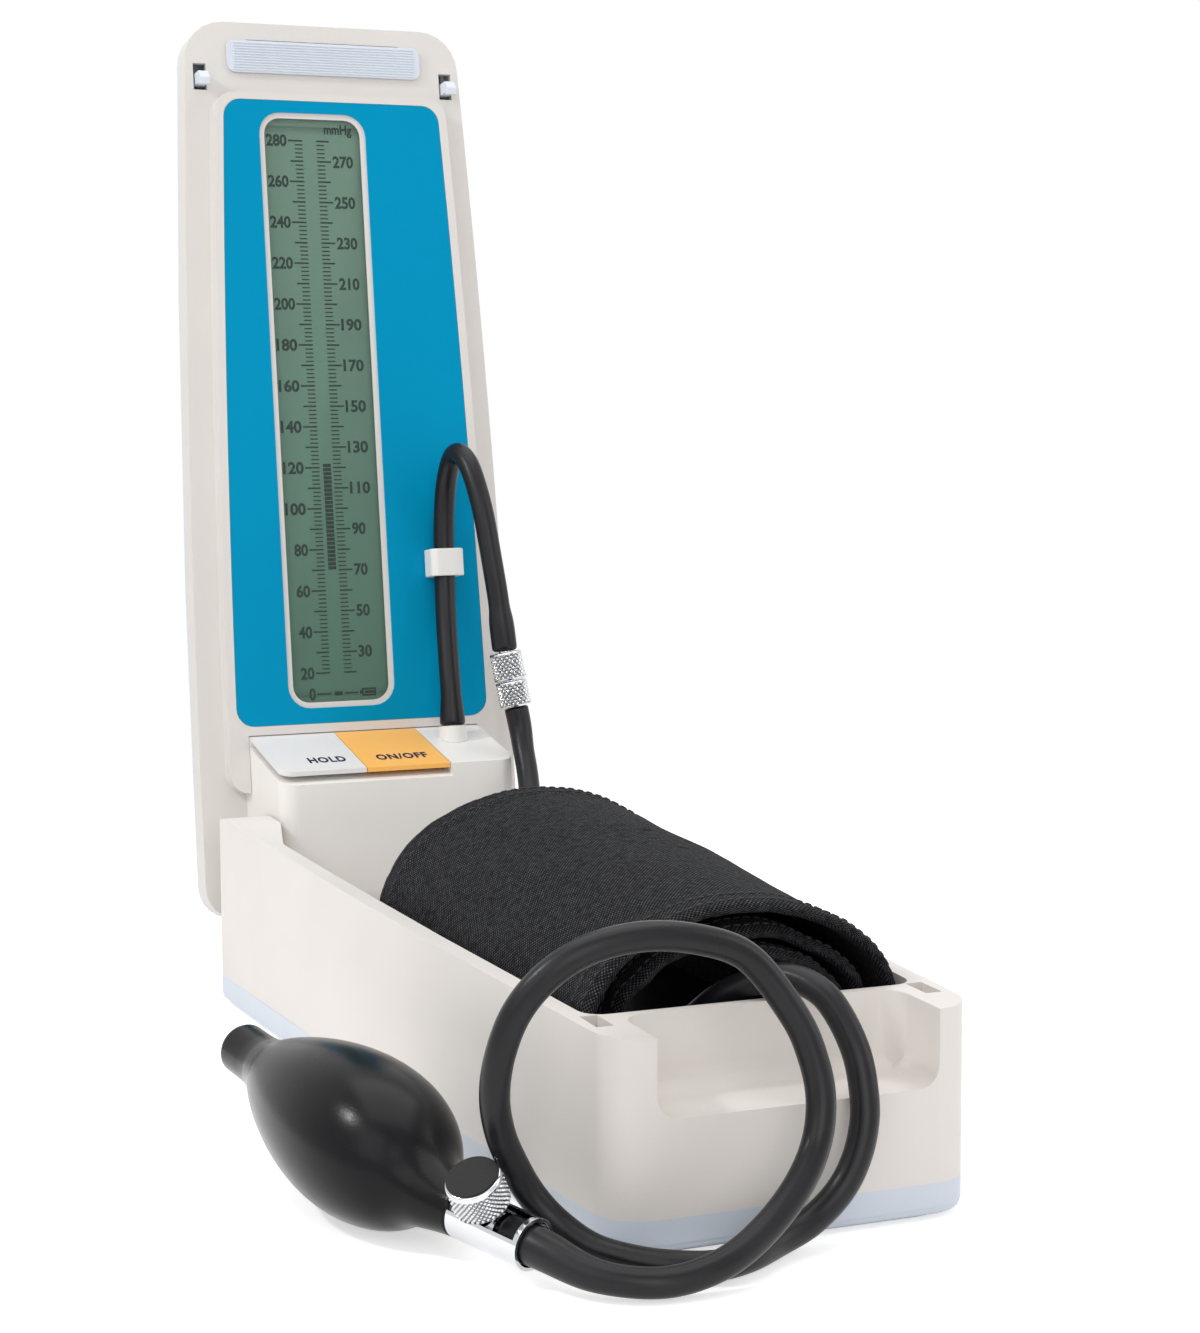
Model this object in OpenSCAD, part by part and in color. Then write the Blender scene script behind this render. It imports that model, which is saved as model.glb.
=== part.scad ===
// Mobile digital sphygmomanometer, standing open: a tray base with the arm cuff rolled in it,
// and a tall lid with the pressure column display, the keys and the air port.
// Origin: centre of the base's footprint on the table. X right, Y to the hinge, Z up.

/* [Base] */
// Length of the base, front face to rear face
base_len = 324; // [300:1:350]
// Width of the base at the front
base_front_w = 102.6; // [98:0.2:108]
// Width of the base at the rear
base_rear_w = 120.4; // [116:0.2:126]
// How far each long side bows outwards
side_bow = 2.4; // [1:0.1:4]
// Height of the rim at the front
rim_front_z = 55.5; // [52:0.5:60]
// Height of the rim at the rear
rim_rear_z = 66.6; // [63:0.1:70]
// Width of the tray's rim
wall = 5.5; // [4:0.1:6]
// Height of the tray's floor
floor_top_z = 14.2; // [13.6:0.1:15]
// Thickness of the tray's floor
floor_t = 2.4; // [2:0.1:2.8]
// Height of the seam between the tray and the bottom cover
seam_z = 10; // [8:0.5:11]
// Gap that the standing rib leaves under the bottom cover's edge
foot_lift = 1.5; // [1:0.1:2.5]
// Radius of the front corners, seen from above
front_corner_r = 13; // [10:0.5:16]
// Radius of the rear corners, seen from above
rear_corner_r = 2.5; // [1.5:0.1:4]
// Thickness of the bottom cover's walls
cover_wall = 2.4; // [2:0.1:3]

/* [Finger notch] */
// Width of the finger notch in the front end
notch_w = 79.6; // [76:0.2:80]
// Depth of the finger notch from the front face
notch_depth = 23.4; // [20:0.2:23.4]
// Height of the finger notch's floor
notch_floor_z = 35; // [30:0.5:40]
// Thickness of the wall between the notch and the tray
notch_wall = 2.8; // [2:0.1:3]
// Radius of the notch's lower corners
notch_corner_r = 6; // [4:0.5:9]
// Radius of the notch's hollow back edges
notch_scoop_r = 7; // [5:0.5:9]

/* [Hinge] */
// Distance from the rear face to the hinge axis
hinge_from_rear = 9.9; // [9:0.1:12]
// Height of the hinge axis
hinge_z = 38.8; // [38.4:0.1:41]
// How far the lid's inner face lies behind the hinge axis
hinge_to_face = 27.6; // [27.6:0.1:28]
// Backward lean of the open lid, in degrees
lean = 7.4; // [5:0.1:10]
// Gap between the key housing and each hinge cheek
cheek_gap = 0.8; // [0.6:0.1:1.2]
// Length of each hinge cheek along the base
cheek_len = 20; // [18:1:26]
// Length of the run-out from a cheek to the plain wall
cheek_runout = 42; // [36:1:46]
// Diameter of the hinge pins
hinge_pin_d = 6; // [4:0.5:7]
// Radial running clearance of the hinge pins
pin_play = 0.05; // [0.02:0.01:0.1]
// Depth of the hinge pins in the cheeks
pin_in_cheek = 11; // [8:1:12]
// Depth of the hinge pins in the key housing
pin_in_housing = 9; // [6:1:12]
// Height of the low wall under the lid between the cheeks
rear_wall_z = 18.2; // [16:0.1:18.4]
// Thickness of that low wall
rear_wall_t = 3; // [2:0.5:4]

/* [Lid] */
// Thickness of the lid behind its inner face
lid_t = 12.2; // [11:0.1:14]
// Thickness of the lid's shells
shell_t = 2.4; // [2:0.1:2.8]
// Thickness of the rear cover that shows at the lid's edge
back_t = 2.8; // [2.4:0.1:3.4]
// Radius of the lid's upper corners
lid_corner_r = 14.5; // [12:0.5:17]
// Radius of the lid's lower corners
lid_foot_r = 12; // [8:0.5:14]
// Height of the raised display bezel
bezel_h = 7.3; // [6.5:0.1:7.5]
// Distance from the lid's edge to the bezel
bezel_margin = 9.1; // [8:0.1:10]
// Lower end of the bezel above the hinge axis
bezel_low = 35; // [30:1:40]
// Distance from the lid's top edge to the bezel
bezel_top_gap = 27.1; // [27.1:0.1:30]
// Radius of the bezel's corners
bezel_r = 7; // [5:0.5:9]

/* [Display] */
// Distance from the lid's edge to the blue panel
panel_margin = 12.2; // [11:0.1:13]
// Lower edge of the blue panel above the hinge axis
panel_low = 58.6; // [58.6:0.1:60]
// Distance from the lid's top edge to the blue panel
panel_top_gap = 29.5; // [29.1:0.1:32]
// Radius of the panel's corners
panel_r = 6.5; // [4:0.5:8]
// Thickness of the blue panel
panel_t = 0.6; // [0.4:0.1:0.8]
// Centre of the display, sideways from the lid's centre line
display_x = -7.9; // [-10:0.1:-6]
// Width of the display's frame
frame_w = 40.3; // [38:0.1:42]
// Lower end of the display's frame
frame_low = 64.3; // [64:0.1:66]
// Distance from the lid's top edge to the display's frame
frame_top_gap = 33.9; // [33:0.1:36]
// Radius of the frame's corners
frame_r = 8; // [6:0.5:9]
// Width of the white border round the display
frame_border = 2; // [1.6:0.1:2.4]
// Depth of the display's window below the panel
window_depth = 1.4; // [1:0.1:1.6]
// Thickness of the clear window
window_t = 1.2; // [1:0.1:1.4]
// Thickness of the liquid crystal glass
glass_t = 2.2; // [1.8:0.1:2.4]
// Thickness of the display's carrier
carrier_t = 3; // [2:0.1:3.4]
// Thickness of the circuit board
board_t = 1.6; // [1.2:0.1:1.6]

/* [Key housing] */
// Width of the key housing
housing_w = 87; // [86.8:0.1:87.2]
// Depth of the key housing in front of the lid's inner face
housing_d = 45; // [44:0.1:45]
// Height of the housing's top at the lid, above the hinge axis
housing_top = 57.5; // [57:0.1:58]
// Fall of the housing's top per millimetre of depth
housing_fall = 0.34; // [0.3:0.01:0.36]
// Distance of the housing's underside below the hinge axis
housing_low = 9.9; // [9:0.1:10]
// Radius of the housing's lower front edge
housing_belly_r = 10; // [8:0.5:12]
// Radius of the housing's upright front edges
housing_edge_r = 6; // [3:0.5:8]
// Thickness of the housing's walls
housing_wall = 2.4; // [2:0.1:2.8]

/* [Keys] */
// Distance from the housing's left side to the hold key
hold_margin = 0.5; // [0.5:0.1:1.5]
// Width of the hold key
hold_w = 31.2; // [30:0.1:32]
// Width of the power key
power_w = 30.7; // [29:0.1:31]
// Rear edge of the keys in front of the lid's inner face
key_rear = 7.5; // [7.4:0.1:9]
// Front edge of the keys
key_front = 43; // [41:0.1:43.4]
// Height of the keys' top at their rear edge, above the hinge axis
key_top = 55; // [54.8:0.1:55.4]
// Fall of the keys' top per millimetre of depth
key_fall = 0.36; // [0.33:0.01:0.38]
// Thickness of the keys
key_t = 1.6; // [1.4:0.1:2]
// Gap under the keys' front edge
key_gap = 2.3; // [2:0.1:2.6]
// Gap round each key
key_side_gap = 0.3; // [0.2:0.05:0.5]
// Diameter of the keys' pin
key_pin_d = 2; // [1.6:0.1:2]

/* [Air fittings] */
// Air port, sideways from the lid's centre line
port_x = 29.2; // [28:0.1:31]
// Air port in front of the lid's inner face
port_d = 20; // [18:0.5:24]
// Diameter of the air port's collar
port_collar_d = 10.2; // [9.6:0.1:11]
// Height of the air port's collar
port_collar_h = 4.5; // [4:0.1:6]
// Outer diameter of the hoses
hose_d = 7.7; // [7:0.1:8]
// Bore of the hoses
hose_bore = 4.4; // [4:0.1:4.8]
// Hose clip, sideways from the lid's centre line
clip_x = 32; // [31:0.1:33]
// Hose clip above the hinge axis
clip_v = 115; // [110:1:120]
// Width of the hose clip
clip_w = 12.7; // [12.2:0.1:13.4]
// Height of the hose clip along the hose
clip_h = 10; // [8:0.5:12]
// Diameter of the hose coupling's collars
coupling_d = 11.4; // [11:0.1:11.6]
// Length of the coupling's socket collar
socket_len = 10.2; // [9.6:0.1:10.4]
// Length of the coupling's lock ring
ring_len = 9.4; // [9:0.1:9.6]

/* [Latch] */
// Width of the ribbed latch slider
slider_w = 73.8; // [70:0.2:74]
// Length of the ribbed slider along the lid
slider_len = 11.7; // [11:0.1:12]
// Distance from the lid's top edge to the slider's lower edge
slider_top_gap = 18.3; // [17.7:0.1:19]
// Thickness of the slider's plate
slider_t = 1.6; // [1.2:0.1:2]
// Number of ribs on the slider
slider_ribs = 11; // [9:1:12]
// Travel of the latch slider
latch_travel = 3; // [2:0.1:3.2]
// Distance of each latch hook from the centre line
hook_x = 47; // [46.6:0.1:47.4]
// Width of each latch hook
hook_w = 3.6; // [3:0.1:3.8]
// Reach of each latch hook below the lid's inner face
hook_reach = 7.2; // [6:0.1:7.6]
// Width of the slot that each hook enters
slot_w = 4.8; // [4.6:0.1:5]

/* [Cuff] */
// Length of the rolled cuff, which is the cuff's width
cuff_len = 152; // [140:1:154]
// Front end of the rolled cuff, behind the base's front face
cuff_front = 31; // [30:1:34]
// Width of the roll at its rear end
cuff_w = 100; // [94:1:100]
// Height of the roll's crown above the tray's floor, at its rear end
cuff_h = 77; // [66:1:78]
// Share of that width at the front end
cuff_front_share = 0.92; // [0.88:0.01:0.92]
// Share of that height at the front end
cuff_sag = 0.86; // [0.82:0.01:0.92]
// Thickness of one layer of the cuff
cuff_t = 4; // [3:0.1:4.4]
// Distance between one layer and the next
cuff_pitch = 6.4; // [6:0.1:7]

/* [Bulb and valve] */
// Length of the rubber bulb
bulb_len = 97; // [92:1:100]
// Girth radius of the rubber bulb, before its taper
bulb_r = 20.35; // [19:0.05:21]
// Fuller shape of the bulb's valve end
bulb_taper = 0.32; // [0.2:0.02:0.34]
// Wall of the bulb
bulb_wall = 2.4; // [2:0.1:3]
// Diameter of the bulb's neck
neck_d = 14.6; // [13:0.2:15]
// Length of the bulb's neck
neck_len = 12; // [10:1:14]
// Outer diameter of the valve's cradle
cradle_d = 13.2; // [13:0.1:13.6]
// Length of the valve's cradle
cradle_len = 24; // [23:0.5:26]
// Diameter of the release knob
knob_d = 14.4; // [13:0.2:14.6]
// Height of the release knob
knob_h = 9.4; // [9:0.2:10]

/* [Hidden] */
$fn = 48;

// Small gaps: between still parts, beside moving parts, and the cutters' overrun
fit = 0.15;
free = 0.3;
over = 1;

half_len = base_len / 2;
hinge_y = half_len - hinge_from_rear;
lid_top = base_len - hinge_from_rear;
lid_foot = -hinge_from_rear;
bezel_high = lid_top - bezel_top_gap;
panel_high = lid_top - panel_top_gap;
frame_high = lid_top - frame_top_gap;
slider_low = lid_top - slider_top_gap;
slope = (rim_rear_z - rim_front_z) / base_len;
rim_angle = atan(slope);
notch_back = -half_len + notch_depth + notch_wall;
housing_half = housing_w / 2;
cheek_x = housing_half + cheek_gap;
cheek_start = half_len - cheek_len;
side_steps = 14;
arc_steps = 6;

function half_w(y) = let (t = (y + half_len) / base_len)
    base_front_w / 2 + (base_rear_w - base_front_w) / 2 * t + side_bow * 4 * t * (1 - t);

// Right side of the outline from y0 to y1, drawn in from the sides by inset, with corner radii
function right_side(inset, y0, y1, r0, r1) = concat(
    [for (i = [0 : arc_steps]) let (a = -90 + 90 * i / arc_steps)
        [half_w(y0 + r0) - inset - r0 + r0 * cos(a), y0 + r0 + r0 * sin(a)]],
    [for (i = [1 : side_steps - 1]) let (y = y0 + r0 + (y1 - r1 - y0 - r0) * i / side_steps)
        [half_w(y) - inset, y]],
    [for (i = [0 : arc_steps]) let (a = 90 * i / arc_steps)
        [half_w(y1 - r1) - inset - r1 + r1 * cos(a), y1 - r1 + r1 * sin(a)]]);

function both_sides(pts) = concat(pts,
    [for (i = [len(pts) - 1 : -1 : 0]) [-pts[i][0], pts[i][1]]]);

module outline(inset, y0, y1, r0, r1) {
    polygon(both_sides(right_side(inset, y0, y1, r0, r1)));
}

module base_outline(inset = 0) {
    outline(inset, -half_len + inset, half_len - inset,
        front_corner_r - inset / 2, max(0.6, rear_corner_r - inset / 2));
}

// The lid's outline in the lid's own plane: x to the right, y up from the hinge axis
module lid_outline(inset = 0) {
    translate([0, hinge_y]) mirror([0, 1])
        outline(inset, -half_len + inset, half_len - inset,
            lid_corner_r - inset / 2, lid_foot_r - inset / 2);
}

// A stretch of the lid's outline from v0 to v1, as the bezel and the panel have it
module lid_field(margin, v0, v1, r) {
    translate([0, hinge_y]) mirror([0, 1])
        outline(margin, hinge_y - v1, hinge_y - v0, r, r);
}

// Rectangle with round corners, from its corner at x0, y0
module round_rect(x0, y0, w, h, r) {
    polygon([for (c = [[x0 + w - r, y0 + r, -90], [x0 + w - r, y0 + h - r, 0],
            [x0 + r, y0 + h - r, 90], [x0 + r, y0 + r, 180]])
        for (i = [0 : arc_steps]) let (a = c[2] + 90 * i / arc_steps)
            [c[0] + r * cos(a), c[1] + r * sin(a)]]);
}

// Puts the children into the lid's frame: x right, y up the lid, z out of its inner face
module on_lid() {
    translate([0, hinge_y, hinge_z]) rotate([90 - lean, 0, 0])
        translate([0, 0, -hinge_to_face]) children();
}

// Everything below the sloping rim, lowered by drop
module below_rim(drop = 0) {
    translate([0, -half_len, rim_front_z - drop]) rotate([rim_angle, 0, 0])
        translate([-base_len, -base_len, -base_len]) cube([2 * base_len, 3 * base_len, base_len]);
}

// Straight run from 0 to 1 with a soft bend at each end
bend = 0.12;
function run_out(c) = c < bend ? c * c / (2 * bend * (1 - bend))
    : c > 1 - bend ? 1 - (1 - c) * (1 - c) / (2 * bend * (1 - bend))
    : (c - bend / 2) / (1 - bend);

// Inner half-width of the tray, which narrows to the hinge cheeks
runout_start = cheek_start - cheek_runout;
function tray_half(y) = let (s = run_out(min(1, max(0, (y - runout_start) / cheek_runout))))
    (half_w(y) - wall) * (1 - s) + cheek_x * s;

tray_y0 = notch_back;
tray_y1 = half_len - rear_wall_t;
tray_r = 6;
tray_steps = 18;
runout_steps = 12;

module tray_outline() {
    side = concat(
        [for (i = [0 : arc_steps]) let (a = -90 + 90 * i / arc_steps)
            [tray_half(tray_y0 + tray_r) - tray_r + tray_r * cos(a),
             tray_y0 + tray_r + tray_r * sin(a)]],
        [for (i = [1 : tray_steps]) let (y = tray_y0 + tray_r
                + (runout_start - tray_y0 - tray_r) * i / tray_steps) [tray_half(y), y]],
        [for (i = [1 : runout_steps]) let (y = runout_start + cheek_runout * i / runout_steps)
            [tray_half(y), y]],
        [[cheek_x, tray_y1]]);
    polygon(both_sides(side));
}

// Screws up through the bottom cover into the tray's bosses
cover_screw_d = 2.6;
cover_screw_head = 5.6;
cover_screw_head_t = 1.8;
cover_boss_d = 7;
cover_screw_y = [-half_len + 30, half_len - 30];
cover_screw_x = 38;
cover_bottom = foot_lift;
cover_floor_t = 2;
screw_seat_z = cover_bottom + cover_floor_t + cover_screw_head_t;
boss_low = screw_seat_z + 1.6;

module cover_screw_spots() {
    for (x = [-cover_screw_x, cover_screw_x], y = cover_screw_y)
        translate([x, y, 0]) children();
}

// Where the hooks pass, below the slider's plate
hook_v = slider_low - 4.2;
hook_t = 4.2;
slot_depth = 9;

module base_tray() {
    color([0.93, 0.91, 0.89]) difference() {
        union() {
            difference() {
                intersection() {
                    translate([0, 0, seam_z]) linear_extrude(rim_rear_z + over) base_outline();
                    below_rim();
                }
                translate([0, 0, floor_top_z]) linear_extrude(rim_rear_z) tray_outline();
                translate([0, 0, seam_z - over]) linear_extrude(floor_top_z - floor_t - seam_z + over)
                    base_outline(cover_wall);
                notch();
                translate([-cheek_x, tray_y1 - over, rear_wall_z])
                    cube([2 * cheek_x, rear_wall_t + 2 * over, rim_rear_z]);
                cheek_round();
                translate([-notch_w / 2, -half_len + cover_wall + 1, seam_z - over])
                    cube([notch_w, notch_depth - cover_wall - 1,
                        notch_floor_z - floor_t - seam_z + over]);
            }
            cover_screw_spots() translate([0, 0, boss_low])
                cylinder(d = cover_boss_d, h = floor_top_z - floor_t - boss_low + 0.2);
        }
        cover_screw_spots() translate([0, 0, boss_low - over])
            cylinder(d = cover_screw_d, h = floor_top_z - boss_low - 0.6 + over);
        for (s = [-1, 1]) {
            translate([s * cheek_x, hinge_y, hinge_z]) rotate([0, s * 90, 0])
                translate([0, 0, -over]) cylinder(d = hinge_pin_d, h = pin_in_cheek + over);
            translate([s * hook_x - slot_w / 2, hinge_y - hook_v - latch_travel - hook_t + 0.2,
                    rim_front_z - slot_depth])
                cube([slot_w, latch_travel + hook_t + 3.7, rim_rear_z]);
        }
    }
}

// The finger notch has a round edge along each side, and is hollow where its back rises
module notch() {
    back = -half_len + notch_depth;
    reach = notch_depth + notch_scoop_r;
    intersection() {
        translate([0, back, 0]) rotate([90, 0, 0]) linear_extrude(notch_depth + over)
            round_rect(-notch_w / 2, notch_floor_z, notch_w, rim_rear_z, notch_corner_r);
        linear_extrude(2 * rim_rear_z)
            round_rect(-notch_w / 2, back - reach, notch_w, reach, notch_scoop_r);
        across(notch_w) round_rect(back - reach, notch_floor_z, reach, rim_rear_z, notch_scoop_r);
    }
}

// The lid's inner face turns about the hinge axis, so the rim is rounded behind that axis
module cheek_round() {
    r = hinge_to_face - free;
    translate([-base_rear_w, hinge_y, hinge_z]) difference() {
        cube([2 * base_rear_w, base_len, base_len]);
        rotate([0, 90, 0]) cylinder(r = r, h = 2 * base_rear_w, $fn = 96);
    }
}

// Rubber feet sit in pockets of the bottom cover, level with its standing rib
foot_d = 14;
foot_t = 3;
foot_x = 34;
rib_inset = 5;
rib_t = 2;
foot_y = [-half_len + 14, half_len - 12];

module foot_spots() {
    for (x = [-foot_x, foot_x], y = foot_y) translate([x, y, 0]) children();
}

module bottom_cover() {
    edge = 2;
    color([0.74, 0.79, 0.85]) difference() {
        union() {
            translate([0, 0, cover_bottom]) linear_extrude(edge / 3) base_outline(edge * 0.6);
            translate([0, 0, cover_bottom + edge / 3]) linear_extrude(edge * 2 / 3)
                base_outline(edge * 0.2);
            difference() {
                translate([0, 0, cover_bottom + edge]) linear_extrude(seam_z - cover_bottom - edge)
                    base_outline();
                translate([0, 0, cover_bottom + cover_floor_t])
                    linear_extrude(seam_z) base_outline(cover_wall);
            }
            cover_screw_spots() translate([0, 0, cover_bottom])
                cylinder(d = cover_boss_d + 1.4, h = boss_low - cover_bottom);
            foot_spots() translate([0, 0, cover_bottom])
                cylinder(d = foot_d + 3, h = foot_t - cover_bottom + 1.4);
            linear_extrude(cover_bottom + 0.5) difference() {
                base_outline(rib_inset);
                base_outline(rib_inset + rib_t);
            }
        }
        cover_screw_spots() {
            translate([0, 0, cover_bottom - over])
                cylinder(d = cover_screw_head, h = screw_seat_z - cover_bottom + over);
            cylinder(d = cover_screw_d, h = seam_z + over);
        }
        foot_spots() translate([0, 0, -over]) cylinder(d = foot_d, h = foot_t + over);
    }
}

module rubber_feet() {
    color([0.2, 0.2, 0.21]) foot_spots() cylinder(d = foot_d, h = foot_t);
}

module cover_screws() {
    color("silver") cover_screw_spots() difference() {
        union() {
            translate([0, 0, screw_seat_z - cover_screw_head_t])
                cylinder(d = cover_screw_head, h = cover_screw_head_t);
            cylinder_from(screw_seat_z - 0.1, floor_top_z - 1.6, cover_screw_d);
        }
        translate([-2, -0.35, screw_seat_z - cover_screw_head_t - over]) cube([4, 0.7, 0.7 + over]);
        translate([-0.35, -2, screw_seat_z - cover_screw_head_t - over]) cube([0.7, 4, 0.7 + over]);
    }
}

module cylinder_from(z0, z1, d) {
    translate([0, 0, z0]) cylinder(d = d, h = z1 - z0);
}

module hinge_pins() {
    color("silver") for (s = [-1, 1]) translate([s * (housing_half - pin_in_housing), hinge_y, hinge_z])
        rotate([0, s * 90, 0])
            cylinder(d = hinge_pin_d, h = pin_in_housing + cheek_gap + pin_in_cheek);
}

// Nylon washers that hold the lid central between the cheeks
module hinge_washers() {
    washer_t = cheek_gap - 0.1;
    color("white") for (s = [-1, 1]) translate([s * (cheek_x - washer_t), hinge_y, hinge_z])
        rotate([0, s * 90, 0]) difference() {
            cylinder(d = hinge_pin_d + 7, h = washer_t);
            translate([0, 0, -over]) cylinder(d = hinge_pin_d, h = washer_t + 2 * over);
        }
}

// Screws that draw the lid's rear cover to its front shell
lid_screw_d = 2.2;
lid_screw_head = 4.6;
lid_screw_head_t = 1.6;
lid_boss_d = 6;
lid_screw_v = [bezel_low + 29, lid_top * 0.55, bezel_high - 5];
lid_screw_at = [for (v = lid_screw_v, s = [-1, 1]) [s * (half_w(hinge_y - v) - 13.2), v]];

module lid_screw_spots() {
    for (p = lid_screw_at) translate([p[0], p[1], 0]) children();
}

display_left = display_x - frame_w / 2;
window_top = bezel_h - window_depth;
seat_lip = 2;

// Battery bay at the lower end of the lid, under the key housing
bay_half = 29.5;
bay_low = 2;
cell_d = 14.4;
cell_pitch = cell_d + 0.8;
bay_high = bay_low + cell_pitch + cell_d + 0.4;
cell_len = 50;
cell_z = -1.6;
contact_t = 0.8;

// Openings in the lid's inner face for the slider's neck and the hooks
bridge_half = 28;
bridge_low = slider_low + 3.2;
bridge_len = 5;

module lid_front() {
    color([0.93, 0.91, 0.89]) on_lid() difference() {
        union() {
            difference() {
                translate([0, 0, -lid_t + back_t]) linear_extrude(lid_t - back_t) lid_outline();
                translate([0, 0, -lid_t]) linear_extrude(lid_t - shell_t) lid_outline(shell_t);
            }
            linear_extrude(bezel_h) lid_field(bezel_margin, bezel_low, bezel_high, bezel_r);
            intersection() {
                lid_screw_spots() cylinder_from(-lid_t + back_t, 0, lid_boss_d);
                translate([0, 0, -lid_t]) linear_extrude(2 * lid_t) lid_outline(0.5);
            }
        }
        difference() {
            translate([0, 0, -shell_t - over]) linear_extrude(bezel_h + over)
                lid_field(bezel_margin + shell_t, housing_top + 3, bezel_high - shell_t,
                    bezel_r - shell_t);
            lid_screw_spots() cylinder_from(-lid_t, bezel_h, lid_boss_d);
        }
        translate([0, 0, bezel_h - panel_t]) linear_extrude(panel_t + over)
            lid_field(panel_margin, panel_low, panel_high, panel_r);
        translate([0, 0, window_top - window_t - 2]) linear_extrude(window_t + 2)
            window_outline(0);
        translate([0, 0, bezel_h - 0.7]) linear_extrude(over + 0.7)
            round_rect(display_left, frame_low, frame_w, frame_high - frame_low, frame_r);
        linear_extrude(bezel_h)
            round_rect(display_left + frame_border, frame_low + frame_border,
                frame_w - 2 * frame_border, frame_high - frame_low - 2 * frame_border,
                frame_r - frame_border);
        housing_opening();
        across(housing_half + fit) polygon([[-housing_low - over, 0], [top_v(0) + fit, 0],
            [top_v(bezel_h) + fit, bezel_h + over], [-housing_low - over, bezel_h + over]]);
        lid_screw_spots() cylinder_from(-lid_t, -1, lid_screw_d);
        translate([-bridge_half - 1, bridge_low - 1, -lid_t])
            cube([2 * bridge_half + 2, bridge_len + latch_travel + 2, lid_t + over]);
        for (s = [-1, 1]) translate([s * hook_x - hook_w / 2 - 0.6, hook_v - 2.6, -shell_t - over])
            cube([hook_w + 1.2, hook_t + latch_travel + 2.4, shell_t + 2 * over]);
        housing_screw_spots() cylinder_from(-shell_t - over, over, housing_screw_d + 0.4);
    }
}

module window_outline(inset) {
    round_rect(display_left + frame_border - seat_lip + inset, frame_low + frame_border - seat_lip + inset,
        frame_w - 2 * frame_border + 2 * seat_lip - 2 * inset,
        frame_high - frame_low - 2 * frame_border + 2 * seat_lip - 2 * inset, frame_r - 1);
}

// Way through the lid's inner face into the key housing, for wires and the batteries
module housing_opening() {
    half = housing_half - 7.5;
    translate([-half, bay_low - 3.2, -shell_t - over]) cube([2 * half, 46, shell_t + 2 * over]);
}

lip_t = 1.4;
lip_h = 2;

module lid_back() {
    color([0.78, 0.82, 0.87]) on_lid() difference() {
        union() {
            translate([0, 0, -lid_t]) linear_extrude(0.9) lid_outline(1.2);
            translate([0, 0, -lid_t + 0.9]) linear_extrude(back_t - 0.9) lid_outline();
            difference() {
                translate([0, 0, -lid_t + 0.9]) linear_extrude(back_t - 0.9 + lip_h)
                    lid_outline(shell_t + fit);
                translate([0, 0, -lid_t + 1]) linear_extrude(lid_t) lid_outline(shell_t + fit + lip_t);
                lid_screw_spots() cylinder_from(-lid_t + back_t, 0, lid_boss_d + 1);
            }
        }
        translate([0, 0, -lid_t + shell_t]) linear_extrude(lid_t)
            lid_outline(shell_t + fit + lip_t);
        lid_screw_spots() {
            cylinder_from(-lid_t - over, -lid_t + lid_screw_head_t, lid_screw_head);
            cylinder_from(-lid_t - over, 0, lid_screw_d);
        }
        door_space();
    }
}

module lid_screws() {
    color("silver") on_lid() lid_screw_spots() difference() {
        union() {
            cylinder_from(-lid_t + 0.2, -lid_t + lid_screw_head_t, lid_screw_head);
            cylinder_from(-lid_t + lid_screw_head_t - 0.1, -2, lid_screw_d);
        }
        translate([-1.6, -0.3, -lid_t - over]) cube([3.2, 0.6, 0.8 + over]);
        translate([-0.3, -1.6, -lid_t - over]) cube([0.6, 3.2, 0.8 + over]);
    }
}

// Battery door: slides towards the lid's lower edge, held by side tongues
door_top = 37;
door_t = 1.8;
tongue = 1.4;
tongue_t = 0.8;

module door_space() {
    translate([-bay_half, lid_foot - over, -lid_t - over])
        cube([2 * bay_half, door_top - lid_foot + over, back_t + 2 * over]);
    translate([-bay_half - tongue - fit, lid_foot - over, -lid_t + door_t - tongue_t - fit])
        cube([2 * (bay_half + tongue + fit), door_top - lid_foot + over, tongue_t + 2 * fit]);
}

module battery_door() {
    low = lid_foot + free;
    half = bay_half - free;
    rib = 0.5;
    color([0.78, 0.82, 0.87]) on_lid() {
        translate([-half, low, -lid_t]) cube([2 * half, door_top - free - low, door_t]);
        translate([-half - tongue, low, -lid_t + door_t - tongue_t])
            cube([2 * (half + tongue), door_top - free - low, tongue_t]);
        for (i = [0 : 5]) translate([-9, low + 6 + 2.4 * i, -lid_t - rib]) cube([18, 1, rib + 0.1]);
    }
}

// Holder inside the housing: end walls behind the contacts, a stop below and a saddle on the cells
module battery_holder() {
    half = cell_len / 2 + contact_t;
    top = cell_z + cell_d / 2;
    holder_t = 1.4;
    difference() {
        translate([-half - holder_t, -housing_low, -2 * over])
            cube([2 * (half + holder_t), bay_high + holder_t + housing_low, top + holder_t + 2 * over]);
        translate([-half, bay_low, -3 * over]) cube([2 * half, bay_high - bay_low, top + 3 * over]);
        translate([-half, -2 * housing_low, -3 * over])
            cube([2 * half, bay_low - holder_t + 2 * housing_low, top + 3 * over]);
    }
}

module batteries() {
    color([0.3, 0.32, 0.34]) on_lid() for (i = [0, 1])
        translate([-cell_len / 2, bay_low + cell_d / 2 + i * cell_pitch, cell_z])
            rotate([0, 90, 0]) union() {
                cylinder(d = cell_d, h = cell_len - 1);
                cylinder(d = 5.5, h = cell_len);
            }
}

module battery_contacts() {
    color("silver") on_lid() {
        for (i = [0, 1], s = [-1, 1])
            translate([s * (cell_len + contact_t) / 2 - contact_t / 2, bay_low + 1 + i * cell_pitch,
                    cell_z - 6])
                cube([contact_t, cell_d - 2, 12]);
    }
}

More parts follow.
